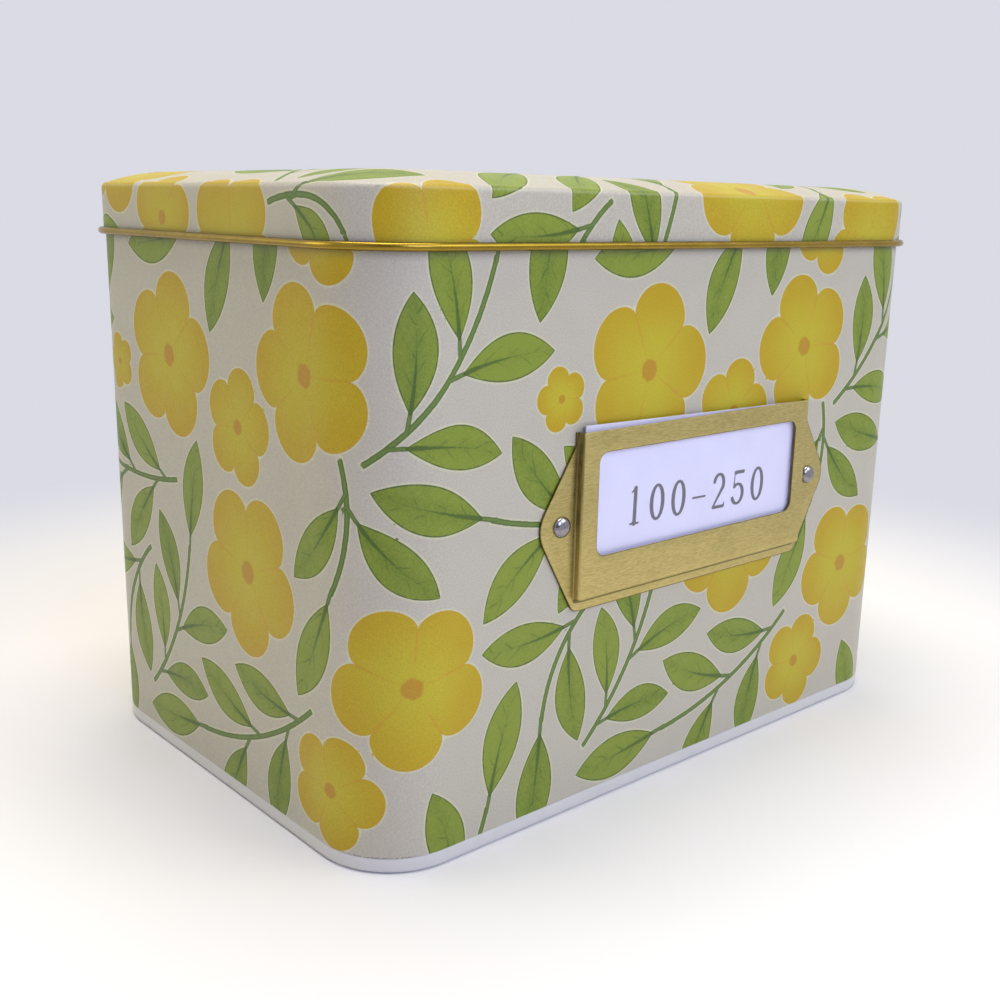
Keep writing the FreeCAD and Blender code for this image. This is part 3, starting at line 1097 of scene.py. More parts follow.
@dataclass(frozen=True)
class BodyWall:
    """Printed wall with its necked and hemmed top, foot and lock seam."""

    tin: Tin
    foot: float = 0.35
    foot_inset: float = 0.35
    slope_foot: float = 113.25
    slope_top: float = 113.8
    neck_inset: float = 0.5
    hem_height: float = 3.0
    hem_radius: float = 0.25
    seam_half: float = 2.5
    seam_thickness: float = 0.5
    seam_edge: float = 0.1
    seam_foot: float = 3.7
    seam_top: float = 111.25
    groove_depth: float = 0.18
    groove_half: float = 0.45
    wear_rise: float = 1.6
    wear_spread: float = 1.1
    seam_steps: tuple[float, ...] = (0.15, 0.3, 0.5, 0.8, 1.2, 1.8, 2.3, 2.45, 2.55, 2.7, 3.2)

    def from_seam(self, run: Array) -> Array:
        """Distance along the wall from the middle of the lock seam."""
        return np.minimum(run, self.tin.outline.length() - run)

    def groove(self, run: Array) -> Array:
        """Depth of the groove over the lock seam."""
        return self.groove_depth * np.exp(-(self.from_seam(run) / self.groove_half) ** 2)

    def printed_face(self, run: Array) -> Patch:
        """Outer face from the base roll up to the slope of the neck."""
        tin = self.tin
        line = refined(np.array([[tin.rim_height], [self.slope_foot]]), tin.print_step)
        across, up = np.broadcast_arrays(run, line)
        # Distance from the print's foot; the dark line along it is grime in part and painted shade
        # of the joint with the base pan in part.
        wear = (up - tin.rim_height) * self.wear_rise + self.wear_spread * tin.corner_wear(run)
        places = np.stack([across, up], axis=-1)
        # The third value is the distance below the neck, under which the lid's shadow is painted.
        marks = tin.floral().marks(places, wear, self.slope_foot - up)
        out = np.broadcast_to(-self.groove(run), up.shape)
        return Patch(tin.outline.surface(run, out, up), 0, marks)

    def bare_face(self, run: Array) -> Patch:
        """Neck, hem, inner face with the seam's fold, and foot."""
        sheet, top, rim = self.tin.sheet, self.tin.height, self.tin.rim_height
        neck = -self.neck_inset
        neck_in = neck - sheet
        hem_in = neck_in - sheet
        hem_foot = top - self.hem_height
        foot_in = -self.foot_inset - sheet
        line = rounded([
            (0.0, self.slope_foot, 0), (neck, self.slope_top, 0.4),
            (neck, top, self.hem_radius), (hem_in, top, self.hem_radius),
            (hem_in, hem_foot, 0.05), (neck_in, hem_foot, 0),
            (neck_in, self.slope_top, 0.3), (-sheet, self.slope_foot, 0.3),
            (-sheet, self.seam_top + self.seam_edge, 0), (-sheet, self.seam_top, 0),
            (-sheet, self.seam_foot, 0), (-sheet, self.seam_foot - self.seam_edge, 0),
            (-sheet, rim + sheet, 0), (foot_in, rim + sheet, 0), (foot_in, self.foot, 0),
            (-self.foot_inset, self.foot, 0), (-self.foot_inset, rim, 0), (0.0, rim, 0),
        ])
        line = refined(line, 10.0)
        out, up = (np.repeat(line[:, k:k + 1], len(run), axis=1) for k in range(2))
        inner = (np.abs(out + sheet) < 1e-6) & (up <= self.seam_top) & (up >= self.seam_foot)
        seam_side = (self.seam_half - self.seam_edge, self.seam_half + self.seam_edge)
        fold = 1 - smooth_step(self.from_seam(run), *seam_side)
        edge = (out == 0.0) & ((up == self.slope_foot) | (up == rim))
        out = out - self.seam_thickness * inner * fold - edge * self.groove(run)
        return Patch(self.tin.outline.surface(run, out, up), 1)

    def build(self, printed: Material, bare: Material) -> None:
        """Make the wall, with its places closer together over the lock seam.

        Args:
            printed: finish of the outer face.
            bare: finish of the neck and the inside.
        """
        near = np.array(self.seam_steps)
        outline = self.tin.outline
        extra = np.concatenate([near, outline.length() - near])
        run = outline.stations(self.tin.print_step, extra)
        piece = Piece("printed_wall", [self.printed_face(run), self.bare_face(run)])
        piece.make(Body.TIN.value, Slot.PRINT, [printed, bare], ["body_wall"])


@dataclass(frozen=True)
class BasePan:
    """White pan: a roll round the foot of the wall and a floor with a pressed step."""

    tin: Tin
    seat_gap: float = 0.05
    channel: float = 0.35
    foot_radius: float = 1.1
    top_radius: float = 0.25
    floor_height: float = 1.9
    floor_margin: float = 9.0
    step_width: float = 1.2
    step_height: float = 0.7
    step_radius: float = 0.5
    chip_depth: float = 0.16
    chip_height: float = 0.25
    chips_round: tuple[int, int] = (190, 59)
    floor_rows: int = 9

    @property
    def top(self) -> float:
        """Height of the roll's top edge."""
        return self.tin.rim_height - self.seat_gap

    def rim_line(self) -> Array:
        """Profile (out, up) from the floor's step, down the channel, round the roll and back."""
        sheet = self.tin.sheet
        floor_up = self.floor_height + sheet
        step_in = -self.floor_margin - self.step_width
        channel_up = self.channel - self.seat_gap
        channel_out = self.seat_gap - self.channel
        channel_in = -self.channel - sheet - self.seat_gap
        leg_in = channel_in - sheet
        line = rounded([
            (step_in, floor_up + self.step_height, 0),
            (-self.floor_margin, floor_up, self.step_radius),
            (channel_in, floor_up, 0.1), (channel_in, channel_up, 0),
            (channel_out, channel_up, 0), (channel_out, self.top, 0.05),
            (0.0, self.top, self.top_radius), (0.0, 0.0, self.foot_radius),
            (leg_in, 0.0, 0.1), (leg_in, self.floor_height, 0.2),
            (-self.floor_margin, self.floor_height, self.step_radius),
            (step_in, self.floor_height + self.step_height, 0),
        ])
        return refined(line, 4.0)

    def build(self, enamel: Material) -> None:
        """Make the pan.

        Args:
            enamel: finish of the whole pan.
        """
        outline = self.tin.outline
        run = outline.stations(1.5)
        line = self.rim_line()
        out, up = (np.repeat(line[:, k:k + 1], len(run), axis=1) for k in range(2))
        near_top = smooth_step(up, self.top - self.chip_height, self.top)
        near_top *= smooth_step(out, -0.2, -0.05)
        turn = run * math.tau / outline.length()
        fine, broad = (np.sin(turn * self.chips_round[k] + k) for k in range(2))
        ripple = 0.5 + 0.5 * fine * broad
        chipped = 1.25 - self.tin.corner_wear(run)
        rim = outline.surface(run, out, up - self.chip_depth * near_top * chipped * ripple)
        floor, under = (outline.disc(run, line[end], self.floor_rows) for end in (0, -1))
        piece = Piece("white_base_pan", [Patch(floor[::-1]), Patch(rim), Patch(under)])
        piece.make(Body.TIN.value, Slot.ENAMEL, [enamel], ["base_pan"])


@dataclass(frozen=True)
class Lid:
    """Crowned printed lid, its skirt, and the gold edge rolled outwards round it."""

    tin: Tin
    shoulder: float
    side_gap: float = 0.1
    skirt_depth: float = 10.2
    skirt_seat: float = 0.3
    edge_radius: float = 1.2
    crown_height: float = 2.5
    crown_corner: float = 1.8
    crown_rows: int = 16
    top_rows: int = 42
    under_rows: int = 9
    fold_depth: float = 0.2
    wear_start: float = 0.12
    wear_rise: float = 1.2
    wear_spread: float = 0.7
    roll_radius: float = 0.75
    roll_neck: float = 0.45
    roll_turn_deg: tuple[float, float] = (180.0, 498.0)
    roll_steps: int = 36
    roll_rows_step: float = 1.3
    # Turns of the roll's section over which shade is painted, next to the skirt and next to the
    # wall.
    dark_above_deg: tuple[float, float] = (46.0, 84.0)
    dark_below_deg: tuple[float, float] = (48.0, 88.0)
    strap_middle: float = 42.0
    notch_half: float = 5.4
    notch_rise: float = 1.1
    notch_edge: float = 0.02

    @classmethod
    def from_frame(cls, tin: Tin) -> "Lid":
        """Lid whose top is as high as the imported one."""
        return cls(tin, float(node_box("lid_shell")[1][2]) - cls.crown_height)

    @property
    def roll_up(self) -> float:
        """Height of the rolled edge's middle."""
        return self.shoulder - self.skirt_depth

    @property
    def outer(self) -> float:
        """Distance of the printed skirt outside the wall's outline."""
        return self.side_gap + self.tin.sheet

    def notch_runs(self) -> Array:
        """Places along the outline of the ends of the two notches at the back."""
        near = self.strap_middle + np.array([-self.notch_half, self.notch_half])
        return np.concatenate([near, self.tin.outline.length() - near[::-1]])

    def foot_line(self, run: Array) -> Array:
        """Height of the skirt's foot, raised over the notches for the hinge straps."""
        edges = self.notch_runs()
        notched = (run >= edges[0]) & (run <= edges[1]) | (run >= edges[2]) & (run <= edges[3])
        return self.roll_up + self.skirt_seat + notched * (self.notch_rise - self.skirt_seat)

    def edge_arc(self, drop: float, count: int) -> Array:
        """Rounded edge between skirt and crown, a distance inside the outer face."""
        center = np.array([self.outer - self.edge_radius, self.shoulder - self.edge_radius])
        return center + (self.edge_radius - drop) * ray(np.linspace(0.0, math.pi / 2, count))

    def crown_line(self, drop: float) -> Array:
        """Crown from the rounded edge to the flat middle.

        At a share s of the way in the rise is crown_height (1 - (1 - s)^2).

        Args:
            drop: distance below the outer face.

        Returns:
            Points (out, up).
        """
        start = self.outer - self.edge_radius
        end = self.crown_corner - self.tin.outline.radius
        share = np.linspace(0.0, 1.0, self.crown_rows)
        rise = self.crown_height * (1 - (1 - share) ** 2)
        return np.stack([start + (end - start) * share, self.shoulder + rise - drop], axis=-1)

    def printed_face(self, run: Array) -> list[Patch]:
        """Skirt, rounded edge and crown, and the flat middle.

        The print lies on the plan of the top and runs on down the skirt: a place at a
        depth d below the shoulder reads the print d outside the shoulder's plan.

        Args:
            run: places along the outline.

        Returns:
            Two patches that share a row.
        """
        outline, floral = self.tin.outline, self.tin.floral()
        arc = self.edge_arc(0.0, 6)
        foot = np.array([[self.outer, self.roll_up + self.skirt_seat], arc[0]])
        skirt = refined(foot, self.tin.print_step)
        line = np.concatenate([skirt, arc[1:], self.crown_line(0.0)[1:]])
        steps = travelled(line)
        depth = steps[len(skirt) + 1] - steps
        up = np.maximum(line[:, 1:], self.foot_line(run)[None])
        plan_out = np.where(depth > 0, self.outer + depth, np.minimum(line[:, 0], self.outer))
        places = outline.plan(run, plan_out[:, None])
        # Distance from the shoulder's fold: a pale painted highlight runs along it, and edge wear
        # is measured from it.
        fold = np.abs(depth - self.fold_depth)[:, None]
        spread = self.wear_start + self.wear_spread * self.tin.corner_wear(run)
        wear = fold * self.wear_rise + spread
        side = Patch(outline.surface(run, line[:, 0], up), 0, floral.marks(places, wear, FAR, fold))
        flat = outline.disc(run, line[-1], self.top_rows)
        return [side, Patch(flat, 0, floral.marks(flat, FAR))]

    def bare_face(self, run: Array) -> list[Patch]:
        """Inner face of the skirt and the underside of the top."""
        outline, inner = self.tin.outline, self.side_gap
        foot = self.roll_up + self.skirt_seat
        skirt = np.array([[self.outer, foot], [inner, foot], [inner, foot + 1.5]])
        under = self.crown_line(self.tin.sheet)[::3]
        line = np.concatenate([skirt, self.edge_arc(self.tin.sheet, 5), under[1:]])
        up = np.maximum(line[:, 1:], self.foot_line(run)[None])
        flat = outline.disc(run, line[-1], self.under_rows)
        return [Patch(outline.surface(run, line[:, 0], up), 1), Patch(flat, 1)]

    def roll_line(self) -> Array:
        """Closed C of the rolled edge: it leaves the skirt, turns outwards and back over."""
        center = np.array([self.side_gap + self.roll_radius, self.roll_up])
        rays = ray(np.radians(np.linspace(*self.roll_turn_deg, self.roll_steps + 1)))
        outer = center + self.roll_radius * rays
        inner = center + (self.roll_radius - self.tin.sheet) * rays
        neck = np.array([[0.0, self.roll_neck]])
        loop = [outer[:1] + neck, outer, inner[::-1], inner[:1] + neck, outer[:1] + neck]
        return np.concatenate(loop)

    def roll_patches(self, start: float, end: float) -> list[Patch]:
        """One length of the rolled edge, with its cut ends closed.

        Its crease mark paints shade on the roll where it nears the skirt and the wall.

        Args:
            start, end: places along the outline, start before end.

        Returns:
            The tube and its two end faces.
        """
        outline = self.tin.outline
        length = outline.length()
        knots = outline.knots()[0]
        knots = np.concatenate([knots - length, knots])
        inside = knots[(knots > start) & (knots < end)]
        stops = np.concatenate([[start], inside, [end]])[:, None]
        run = refined(stops, self.roll_rows_step)[:, 0] % length
        line = self.roll_line()
        tube = outline.surface(run, line[:, 0], line[:, 1])
        half = len(line) // 2
        ends = [np.stack([tube[:half, k], tube[-2:half - 1:-1, k]]) for k in (0, -1)]
        out, up = line[:, 0] - self.side_gap - self.roll_radius, line[:, 1] - self.roll_up
        turn = np.degrees(np.arctan2(up, out))
        # Painted shade on the roll's inner upper and lower sides, next to the skirt and the wall.
        fold = smooth_step(turn, *self.dark_above_deg) + smooth_step(-turn, *self.dark_below_deg)
        clean = np.array([0.0, 0.0, FAR])
        marks = np.broadcast_to(clean, tube.shape).copy()
        marks[..., 1] = np.clip(fold, 0.0, 1.0)[:, None]
        caps = [Patch(end, 0, {"crease": np.broadcast_to(clean, end.shape)}) for end in ends]
        return [Patch(tube, 0, {"crease": marks}), *caps]

    def build(self, printed: Material, bare: Material, gold: Material) -> None:
        """Make the printed shell and the gold rolled edge.

        Args:
            printed: finish of the outer face.
            bare: finish of the inside.
            gold: finish of the rolled edge.
        """
        edges = self.notch_runs()
        doubled = np.concatenate([edges, edges - self.notch_edge, edges + self.notch_edge])
        run = self.tin.outline.stations(self.tin.print_step, doubled)
        shell = Piece("printed_lid", self.printed_face(run) + self.bare_face(run))
        shell.make(Body.LID.value, Slot.PRINT, [printed, bare], ["lid_shell"])
        around = edges[3] - self.tin.outline.length()
        lengths = self.roll_patches(around, edges[0]) + self.roll_patches(edges[1], edges[2])
        roll = Piece("gold_rolled_edge", lengths)
        roll.make(Body.LID.value, Slot.GOLD, [gold], ["lid_shell"])


@dataclass(frozen=True)
class LabelHolder:
    """Pressed brass sheet: a raised frame with a window, a foot strip and two ears."""

    wall: float
    center: float
    foot: float
    top: float
    sheet: float = 0.45
    seat_gap: float = 0.02
    bevel: float = 0.06
    raise_out: float = 2.1
    panel_half: float = 36.0
    panel_bottom: float = 46.0
    window_half: float = 31.5
    window_bottom: float = 54.4
    window_top: float = 75.1
    window_radius: float = 2.2
    window_lip: float = 0.14
    window_dip: float = 0.06
    flange_radius: float = 2.5
    flange_out: float = 0.5
    ear_reach: float = 10.3
    ear_height: float = 61.4
    ear_top: float = 76.5
    ear_radius: float = 6.0
    ear_root: float = 0.05
    ear_notch: float = 0.3
    notch_radius: float = 0.2
    fold_radius: float = 0.5
    root_radius: float = 0.3
    corner_radius: float = 0.8
    side_count: int = 30
    arc_count: int = 7
    long_count: int = 48
    frame_rows: int = 7
    fold_rows: int = 5
    flange_shares: tuple[float, ...] = (0.22, 0.27, 0.5, 0.75, 1.0)
    # Share of the riser's painted shade in each row from the fold.
    riser_shares: tuple[float, ...] = (0, 0.5, 0.9, 1, 1, 1, 1, 1, 0.9, 0.5)
    root_row: int = 7
    # Strength of the painted shadow line at the root, along the level and upright sides.
    level_folds: tuple[float, ...] = (0.6, 1.0, 0.9, 0.7)
    upright_folds: tuple[float, ...] = (0.5, 0.5, 0.5, 0.0)

    @classmethod
    def from_frame(cls) -> "LabelHolder":
        """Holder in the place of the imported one."""
        low, high = node_box("label_holder")
        wall = float(node_box("body_wall")[0][1])
        return cls(wall, float(low[0] + high[0]) / 2, float(low[2]), float(high[2]))

    def loop(
        self, half: float, bottom: float, top: float, low_radius: float, top_radius: float
    ) -> Array:
        """Rectangle with round corners from its top left down, round and back to the start.

        Every loop has the same counts of points along each side and corner, so that
        loops of other sizes can be joined row by row.

        Args:
            half: half of the width.
            bottom, top: lowest and highest height.
            low_radius, top_radius: radius of the lower and upper corners.

        Returns:
            Points (across, up), closed.
        """
        bend = np.linspace(0.0, math.pi / 2, self.arc_count + 1)[1:-1]
        low = np.array([low_radius - half, bottom + low_radius])
        high = np.array([top_radius - half, top - top_radius])
        down = straight((-half, high[1]), (-half, low[1]), self.side_count)
        low_arc = low - low_radius * ray(bend)
        foot = straight((low[0], bottom), (-low[0], bottom), self.long_count)
        top_arc = high + top_radius * ray(bend)[:, ::-1] * MIRROR
        head = straight((-high[0], top), (high[0], top), self.long_count)
        right = [part[::-1] * MIRROR for part in (low_arc, down, top_arc)]
        return np.concatenate([down, low_arc, foot, *right, head, top_arc, down[:1]])

    def open_count(self) -> int:
        """Number of points of a loop from its top left down and up to its top right."""
        return 2 * self.side_count + 2 * (self.arc_count - 1) + self.long_count

    def panel_loop(self, out: float) -> Array:
        """Loop of the raised frame's edge, moved outwards except along its cut top."""
        low_radius = self.corner_radius + out
        return self.loop(self.panel_half + out, self.panel_bottom - out, self.top, low_radius, 0.0)

    def window_loop(self, out: float) -> Array:
        """Loop of the window's edge, moved outwards."""
        low, high = self.window_bottom - out, self.window_top + out
        radius = self.window_radius + out
        return self.loop(self.window_half + out, low, high, radius, radius)

    def rim_line(self) -> Array:
        """Outer edge of the flat ears and foot strip, matched to the open part of a loop.

        A place down the side looks straight out to the ear, one along the foot looks
        straight down, and those round the corner share the edge between them.

        Returns:
            Points (across, up) from top left round to top right.
        """
        start = self.panel_half + self.root_radius + self.ear_root
        corners = [
            (-start, self.top, 0),
            (-start, self.ear_top + self.ear_notch, self.notch_radius),
            (-self.panel_half - self.ear_reach, self.ear_height, self.ear_radius),
            (-self.panel_half, self.foot, self.flange_radius),
            (0.0, self.foot, 0),
        ]
        edge = refined(rounded(corners, steps=10), 0.5)
        run = travelled(edge)
        inner = self.panel_loop(self.root_radius)[: self.open_count() // 2]
        sides, arcs = self.side_count, self.arc_count - 1
        down_run = np.interp(-inner[:sides, 1], -edge[:, 1], run)
        low = (edge[:, 0] > -self.panel_half - 1.0) & (edge[:, 1] < self.panel_bottom)
        foot_run = np.interp(inner[sides + arcs:, 0], edge[low, 0], run[low])
        corner_run = np.linspace(down_run[-1], foot_run[0], arcs + 2)[1:-1]
        places = np.concatenate([down_run, corner_run, foot_run])
        left = np.stack([np.interp(places, run, edge[:, k]) for k in range(2)], axis=-1)
        return np.concatenate([left, left[::-1] * MIRROR])

    def stand(self, flat: Array, out: Array | float) -> Array:
        """Points of the front from (across, up) and a distance out from the wall."""
        out = np.broadcast_to(out, flat.shape[:-1])
        return np.stack([self.center + flat[..., 0], self.wall - out, flat[..., 1]], axis=-1)

    def frame_patch(self) -> Patch:
        """Raised frame from its folded edge in to the window, whose edge dips a little."""
        outer = self.panel_loop(-self.fold_radius)
        window, lip = self.window_loop(0.0), self.window_loop(self.window_lip)
        share = np.linspace(0.0, 1.0, self.frame_rows)[:, None, None]
        rows = np.concatenate([window[None], lip + (outer - lip) * share])
        out = np.full(rows.shape[:2], self.raise_out)
        out[0] -= self.window_dip
        marks = np.zeros((*rows.shape[:2], 3))
        # Distance to the window's edge, along which a painted shadow line runs.
        marks[..., 2] = np.linalg.norm(rows - window, axis=-1)
        return Patch(self.stand(rows, out), 0, {"crease": marks})

    def skirt_patch(self) -> Patch:
        """Fold, riser, root and flat flange, open at the top.

        The crease mark's first part is painted shade on the riser, darker up its upright
        sides as a painted darker reflection; the second is the painted shadow line at
        the root, from root_row on; the third is the distance to the rim, along which
        a painted shadow line runs.
        """
        turn = np.linspace(0.0, math.pi / 2, self.fold_rows)
        fold = self.fold_radius * (ray(turn)[:, ::-1] - 1) + (0.0, self.raise_out)
        root = self.root_radius * (1 - ray(turn)) + (0.0, self.flange_out)
        count = self.open_count()
        rows = [self.stand(self.panel_loop(move)[:count], out) for move, out in (*fold, *root)]
        inner, rim = self.panel_loop(self.root_radius)[:count], self.rim_line()
        shares = np.array(self.flange_shares)
        rows += [self.stand(inner + (rim - inner) * share, self.flange_out) for share in shares]
        marks = np.zeros((len(rows), count, 3))
        upright = np.abs(inner[:, 0]) > self.panel_half
        height = smooth_step(inner[:, 1], self.panel_bottom, self.top)
        # Painted shade on the riser: a painted darker reflection up its upright sides.
        riser_shade = np.where(upright, 0.12 + 0.72 * height, 0.30)
        marks[:len(self.riser_shares), :, 0] = np.array(self.riser_shares)[:, None] * riser_shade
        folds = np.where(upright, *np.array([self.upright_folds, self.level_folds])[..., None])
        marks[self.root_row:self.root_row + len(folds), :, 1] = folds
        marks[..., 2] = FAR
        to_rim = 1 - np.array([0.0, *shares])
        marks[-len(to_rim):, :, 2] = np.linalg.norm(rim - inner, axis=-1) * to_rim[:, None]
        return Patch(np.stack(rows), 0, {"crease": marks})

    def build(self, brass: Material) -> None:
        """Make the holder: its front face, thickened towards the wall.

        Args:
            brass: finish of the sheet.
        """
        piece = Piece("brass_label_holder", [self.frame_patch(), self.skirt_patch()])
        holder = piece.make(
            Body.TIN.value, Slot.BRASS, [brass], ["label_holder"], crease_deg=50.0, closed=False
        )
        if np.mean([face.normal.y * face.area for face in holder.data.polygons]) >= 0:
            holder.data.flip_normals()
        solid = holder.modifiers.new("sheet", "SOLIDIFY")
        solid.thickness = (self.sheet - self.seat_gap) * MM
        solid.offset = -1.0
        solid.use_even_offset = True
        edge = holder.modifiers.new("edge", "BEVEL")
        edge.width = self.bevel * MM
        edge.segments = 2
        edge.limit_method = "ANGLE"
        edge.angle_limit = math.radians(60.0)


@dataclass(frozen=True)
class Rivet:
    """Domed rivet through an ear of the holder, its tail spread inside the wall."""

    wall: float
    side: str
    head_radius: float = 2.1
    head_height: float = 1.1
    head_bevel: float = 0.12
    edge: float = 0.1
    seat: float = 0.55
    shank_radius: float = 0.9
    tail_radius: float = 1.7
    tail_seat: float = -0.35
    tail_height: float = 0.5
    dome_share: float = 0.92
    dome_rows: int = 12
    tail_share: float = 0.25
    tail_rows: int = 5
    sides: int = 48

    def profile(self) -> Array:
        """Points (radius, out) from the top of the dome to the middle of the tail."""
        turn = np.linspace(0.0, self.dome_share, self.dome_rows) * math.pi / 2
        dome = ray(turn)[:, ::-1] * (self.head_radius, self.head_height) + (0.0, self.seat)
        tail_turn = np.linspace(1.0, self.tail_share, self.tail_rows) * math.pi / 2
        tail_size = (self.tail_radius, self.edge - self.tail_height)
        tail = ray(tail_turn)[:, ::-1] * tail_size + (0.0, self.tail_seat - self.edge)
        neck = np.array([
            (self.head_radius, self.seat + self.edge),
            (self.head_radius - self.head_bevel, self.seat),
            (self.shank_radius, self.seat),
            (self.shank_radius, self.tail_seat),
            (self.tail_radius - self.edge, self.tail_seat),
        ])
        end = np.array([(0.0, self.tail_seat - self.tail_height)])
        return np.concatenate([dome, neck, tail, end])

    def build(self, steel: Material) -> None:
        """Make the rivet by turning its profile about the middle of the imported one.

        Args:
            steel: finish of the rivet.
        """
        node = "holder_rivet_" + self.side
        low, high = node_box(node)
        middle = (low + high) / 2
        radius, out = np.split(self.profile(), 2, axis=1)
        turn = np.linspace(0.0, math.tau, self.sides + 1)
        turn[-1] = 0.0
        x, z = middle[0] + radius * np.cos(turn), middle[2] + radius * np.sin(turn)
        points = np.stack([x, np.broadcast_to(self.wall - out, x.shape), z], axis=-1)
        piece = Piece("rivet_" + self.side, [Patch(points)])
        piece.make(Body.TIN.value, Slot.RIVET, [steel], [node], crease_deg=60.0)


@dataclass(frozen=True)
class Lettering:
    """Plain upright numerals, drawn as distances from pen strokes of changing width.

    A numeral is 1 high. A stroke of six numbers is a straight line: its two ends and
    the half width at each. One of eight is a stretch of an ellipse: middle, half
    axes, two angles, and the half width where it runs upright and where it runs level.
    """

    height: float
    spacing: float = 0.25
    advance: float = 0.60
    weight: float = 1.2
    bow_steps: int = 18
    strokes: dict[str, tuple] = field(default_factory=lambda: {
        "0": ((0.30, 0.50, 0.22, 0.46, 0, 360, 0.060, 0.028),),
        "1": ((0.30, 0.03, 0.30, 0.97, 0.055, 0.055), (0.30, 0.96, 0.14, 0.86, 0.028, 0.018),
              (0.13, 0.03, 0.47, 0.03, 0.026, 0.026)),
        "2": ((0.28, 0.70, 0.20, 0.26, 165, -30, 0.055, 0.030),
              (0.45, 0.58, 0.08, 0.06, 0.050, 0.028), (0.07, 0.04, 0.53, 0.04, 0.038, 0.038),
              (0.53, 0.04, 0.56, 0.18, 0.022, 0.016)),
        "3": ((0.27, 0.74, 0.18, 0.22, 155, -85, 0.050, 0.028),
              (0.26, 0.28, 0.23, 0.26, 85, -155, 0.058, 0.028)),
        "4": ((0.41, 0.03, 0.41, 0.97, 0.055, 0.055), (0.40, 0.95, 0.06, 0.34, 0.020, 0.026),
              (0.05, 0.31, 0.58, 0.31, 0.030, 0.030), (0.28, 0.03, 0.54, 0.03, 0.024, 0.024)),
        "5": ((0.13, 0.93, 0.50, 0.93, 0.042, 0.042), (0.13, 0.93, 0.10, 0.53, 0.022, 0.022),
              (0.27, 0.31, 0.23, 0.28, 130, -155, 0.058, 0.028)),
        "6": ((0.30, 0.30, 0.22, 0.27, 0, 360, 0.058, 0.028),
              (0.50, 0.36, 0.42, 0.60, 100, 190, 0.054, 0.026)),
        "7": ((0.07, 0.93, 0.55, 0.93, 0.044, 0.044), (0.54, 0.92, 0.24, 0.03, 0.024, 0.058),
              (0.07, 0.93, 0.06, 0.80, 0.020, 0.016)),
        "8": ((0.30, 0.74, 0.17, 0.22, 0, 360, 0.050, 0.028),
              (0.30, 0.27, 0.22, 0.25, 0, 360, 0.058, 0.028)),
        "-": ((0.04, 0.42, 0.56, 0.42, 0.026, 0.026),),
    })

    def path(self, stroke: tuple[float, ...]) -> tuple[Array, Array]:
        """Points and half widths along one stroke."""
        if len(stroke) == 6:
            return np.reshape(stroke[:4], (2, 2)), self.weight * np.array(stroke[4:])
        x, y, half_x, half_y, first, last, upright, level = stroke
        rays = ray(np.radians(np.linspace(first, last, self.bow_steps)))
        widths = level + (upright - level) * np.abs(rays[:, 0])
        return (x, y) + rays * (half_x, half_y), self.weight * widths

    def gap(self, text: str, across: Array, up: Array) -> Array:
        """Signed distance from a text centred on the origin.

        Args:
            text: numerals and dashes.
            across, up: places in millimetres.

        Returns:
            Distance in millimetres, negative in the ink.
        """
        pitch = self.advance + self.spacing
        left = (self.spacing - len(text) * pitch) * self.height / 2
        y = up / self.height + 0.5
        nearest = np.full(across.shape, FAR)
        for order, mark in enumerate(text):
            x = (across - left) / self.height - order * pitch
            for points, widths in map(self.path, self.strokes[mark]):
                for start, step, wide, grow in zip(
                    points, np.diff(points, axis=0), widths, np.diff(widths)
                ):
                    share = ((x - start[0]) * step[0] + (y - start[1]) * step[1]) / (step @ step)
                    share = np.clip(share, 0.0, 1.0)
                    dx, dy = x - start[0] - share * step[0], y - start[1] - share * step[1]
                    reach = np.hypot(dx, dy) - (wide + grow * share)
                    nearest = np.minimum(nearest, reach * self.height)
        return nearest


def closed_sheet(
    front: Array, back: Array, ink: list[Array | float], blank: tuple[float, float, float]
) -> list[Patch]:
    """Patches of a thin sheet: its front and back grids and the four edges between them.

    Args:
        front, back: grids of points of one shape.
        ink: the three parts of the front's ink mark.
        blank: ink mark of the back and the edges.

    Returns:
        The six patches.
    """
    marks = np.stack(np.broadcast_arrays(front[..., 0], *ink)[1:], axis=-1)
    grids = [back, *(np.stack([front[k], back[k]]) for k in (0, -1))]
    grids += [np.stack([front[:, k], back[:, k]]) for k in (0, -1)]
    plain = [Patch(grid, 0, {"ink": np.broadcast_to(blank, grid.shape)}) for grid in grids]
    return [Patch(front, 0, {"ink": marks}), *plain]


@dataclass(frozen=True)
class LabelCard:
    """White card in the holder, a little askew, with plain numbers on it."""

    holder: LabelHolder
    text: str = "100-250"
    text_height: float = 7.8
    text_rise: float = -1.2
    width: float = 69.6
    height: float = 32.4
    thickness: float = 0.35
    near: float = 0.65
    show: float = 1.1
    skew_deg: float = -1.15
    step: float = 0.4
    bow: float = 0.12

    def build(self, paper: Material) -> None:
        """Make the card as a fine grid that carries the distance from the numbers.

        Args:
            paper: finish of the card.
        """
        sizes = (self.width, self.height)
        grid = (np.linspace(-0.5, 0.5, int(size / self.step)) * size for size in sizes)
        across, up = np.meshgrid(*grid)
        ink = Lettering(self.text_height).gap(self.text, across, up - self.text_rise)
        skew = math.radians(self.skew_deg)
        drop = self.width / 2 * math.sin(abs(skew))
        middle = self.holder.top + self.show - self.height / 2 - drop
        x = across * math.cos(skew) - up * math.sin(skew)
        z = across * math.sin(skew) + up * math.cos(skew) + middle
        flat = np.stack([x, z], axis=-1)
        out = self.near + self.bow * (1 - (2 * across / self.width) ** 2)
        front, back = (self.holder.stand(flat, out + more) for more in (self.thickness, 0.0))
        patches = closed_sheet(front, back, [ink, FAR, FAR], (FAR, FAR, FAR))
        piece = Piece("label_card_face", patches)
        piece.make(Body.LABEL.value, Slot.LABEL, [paper], ["label_card"], crease_deg=40.0)


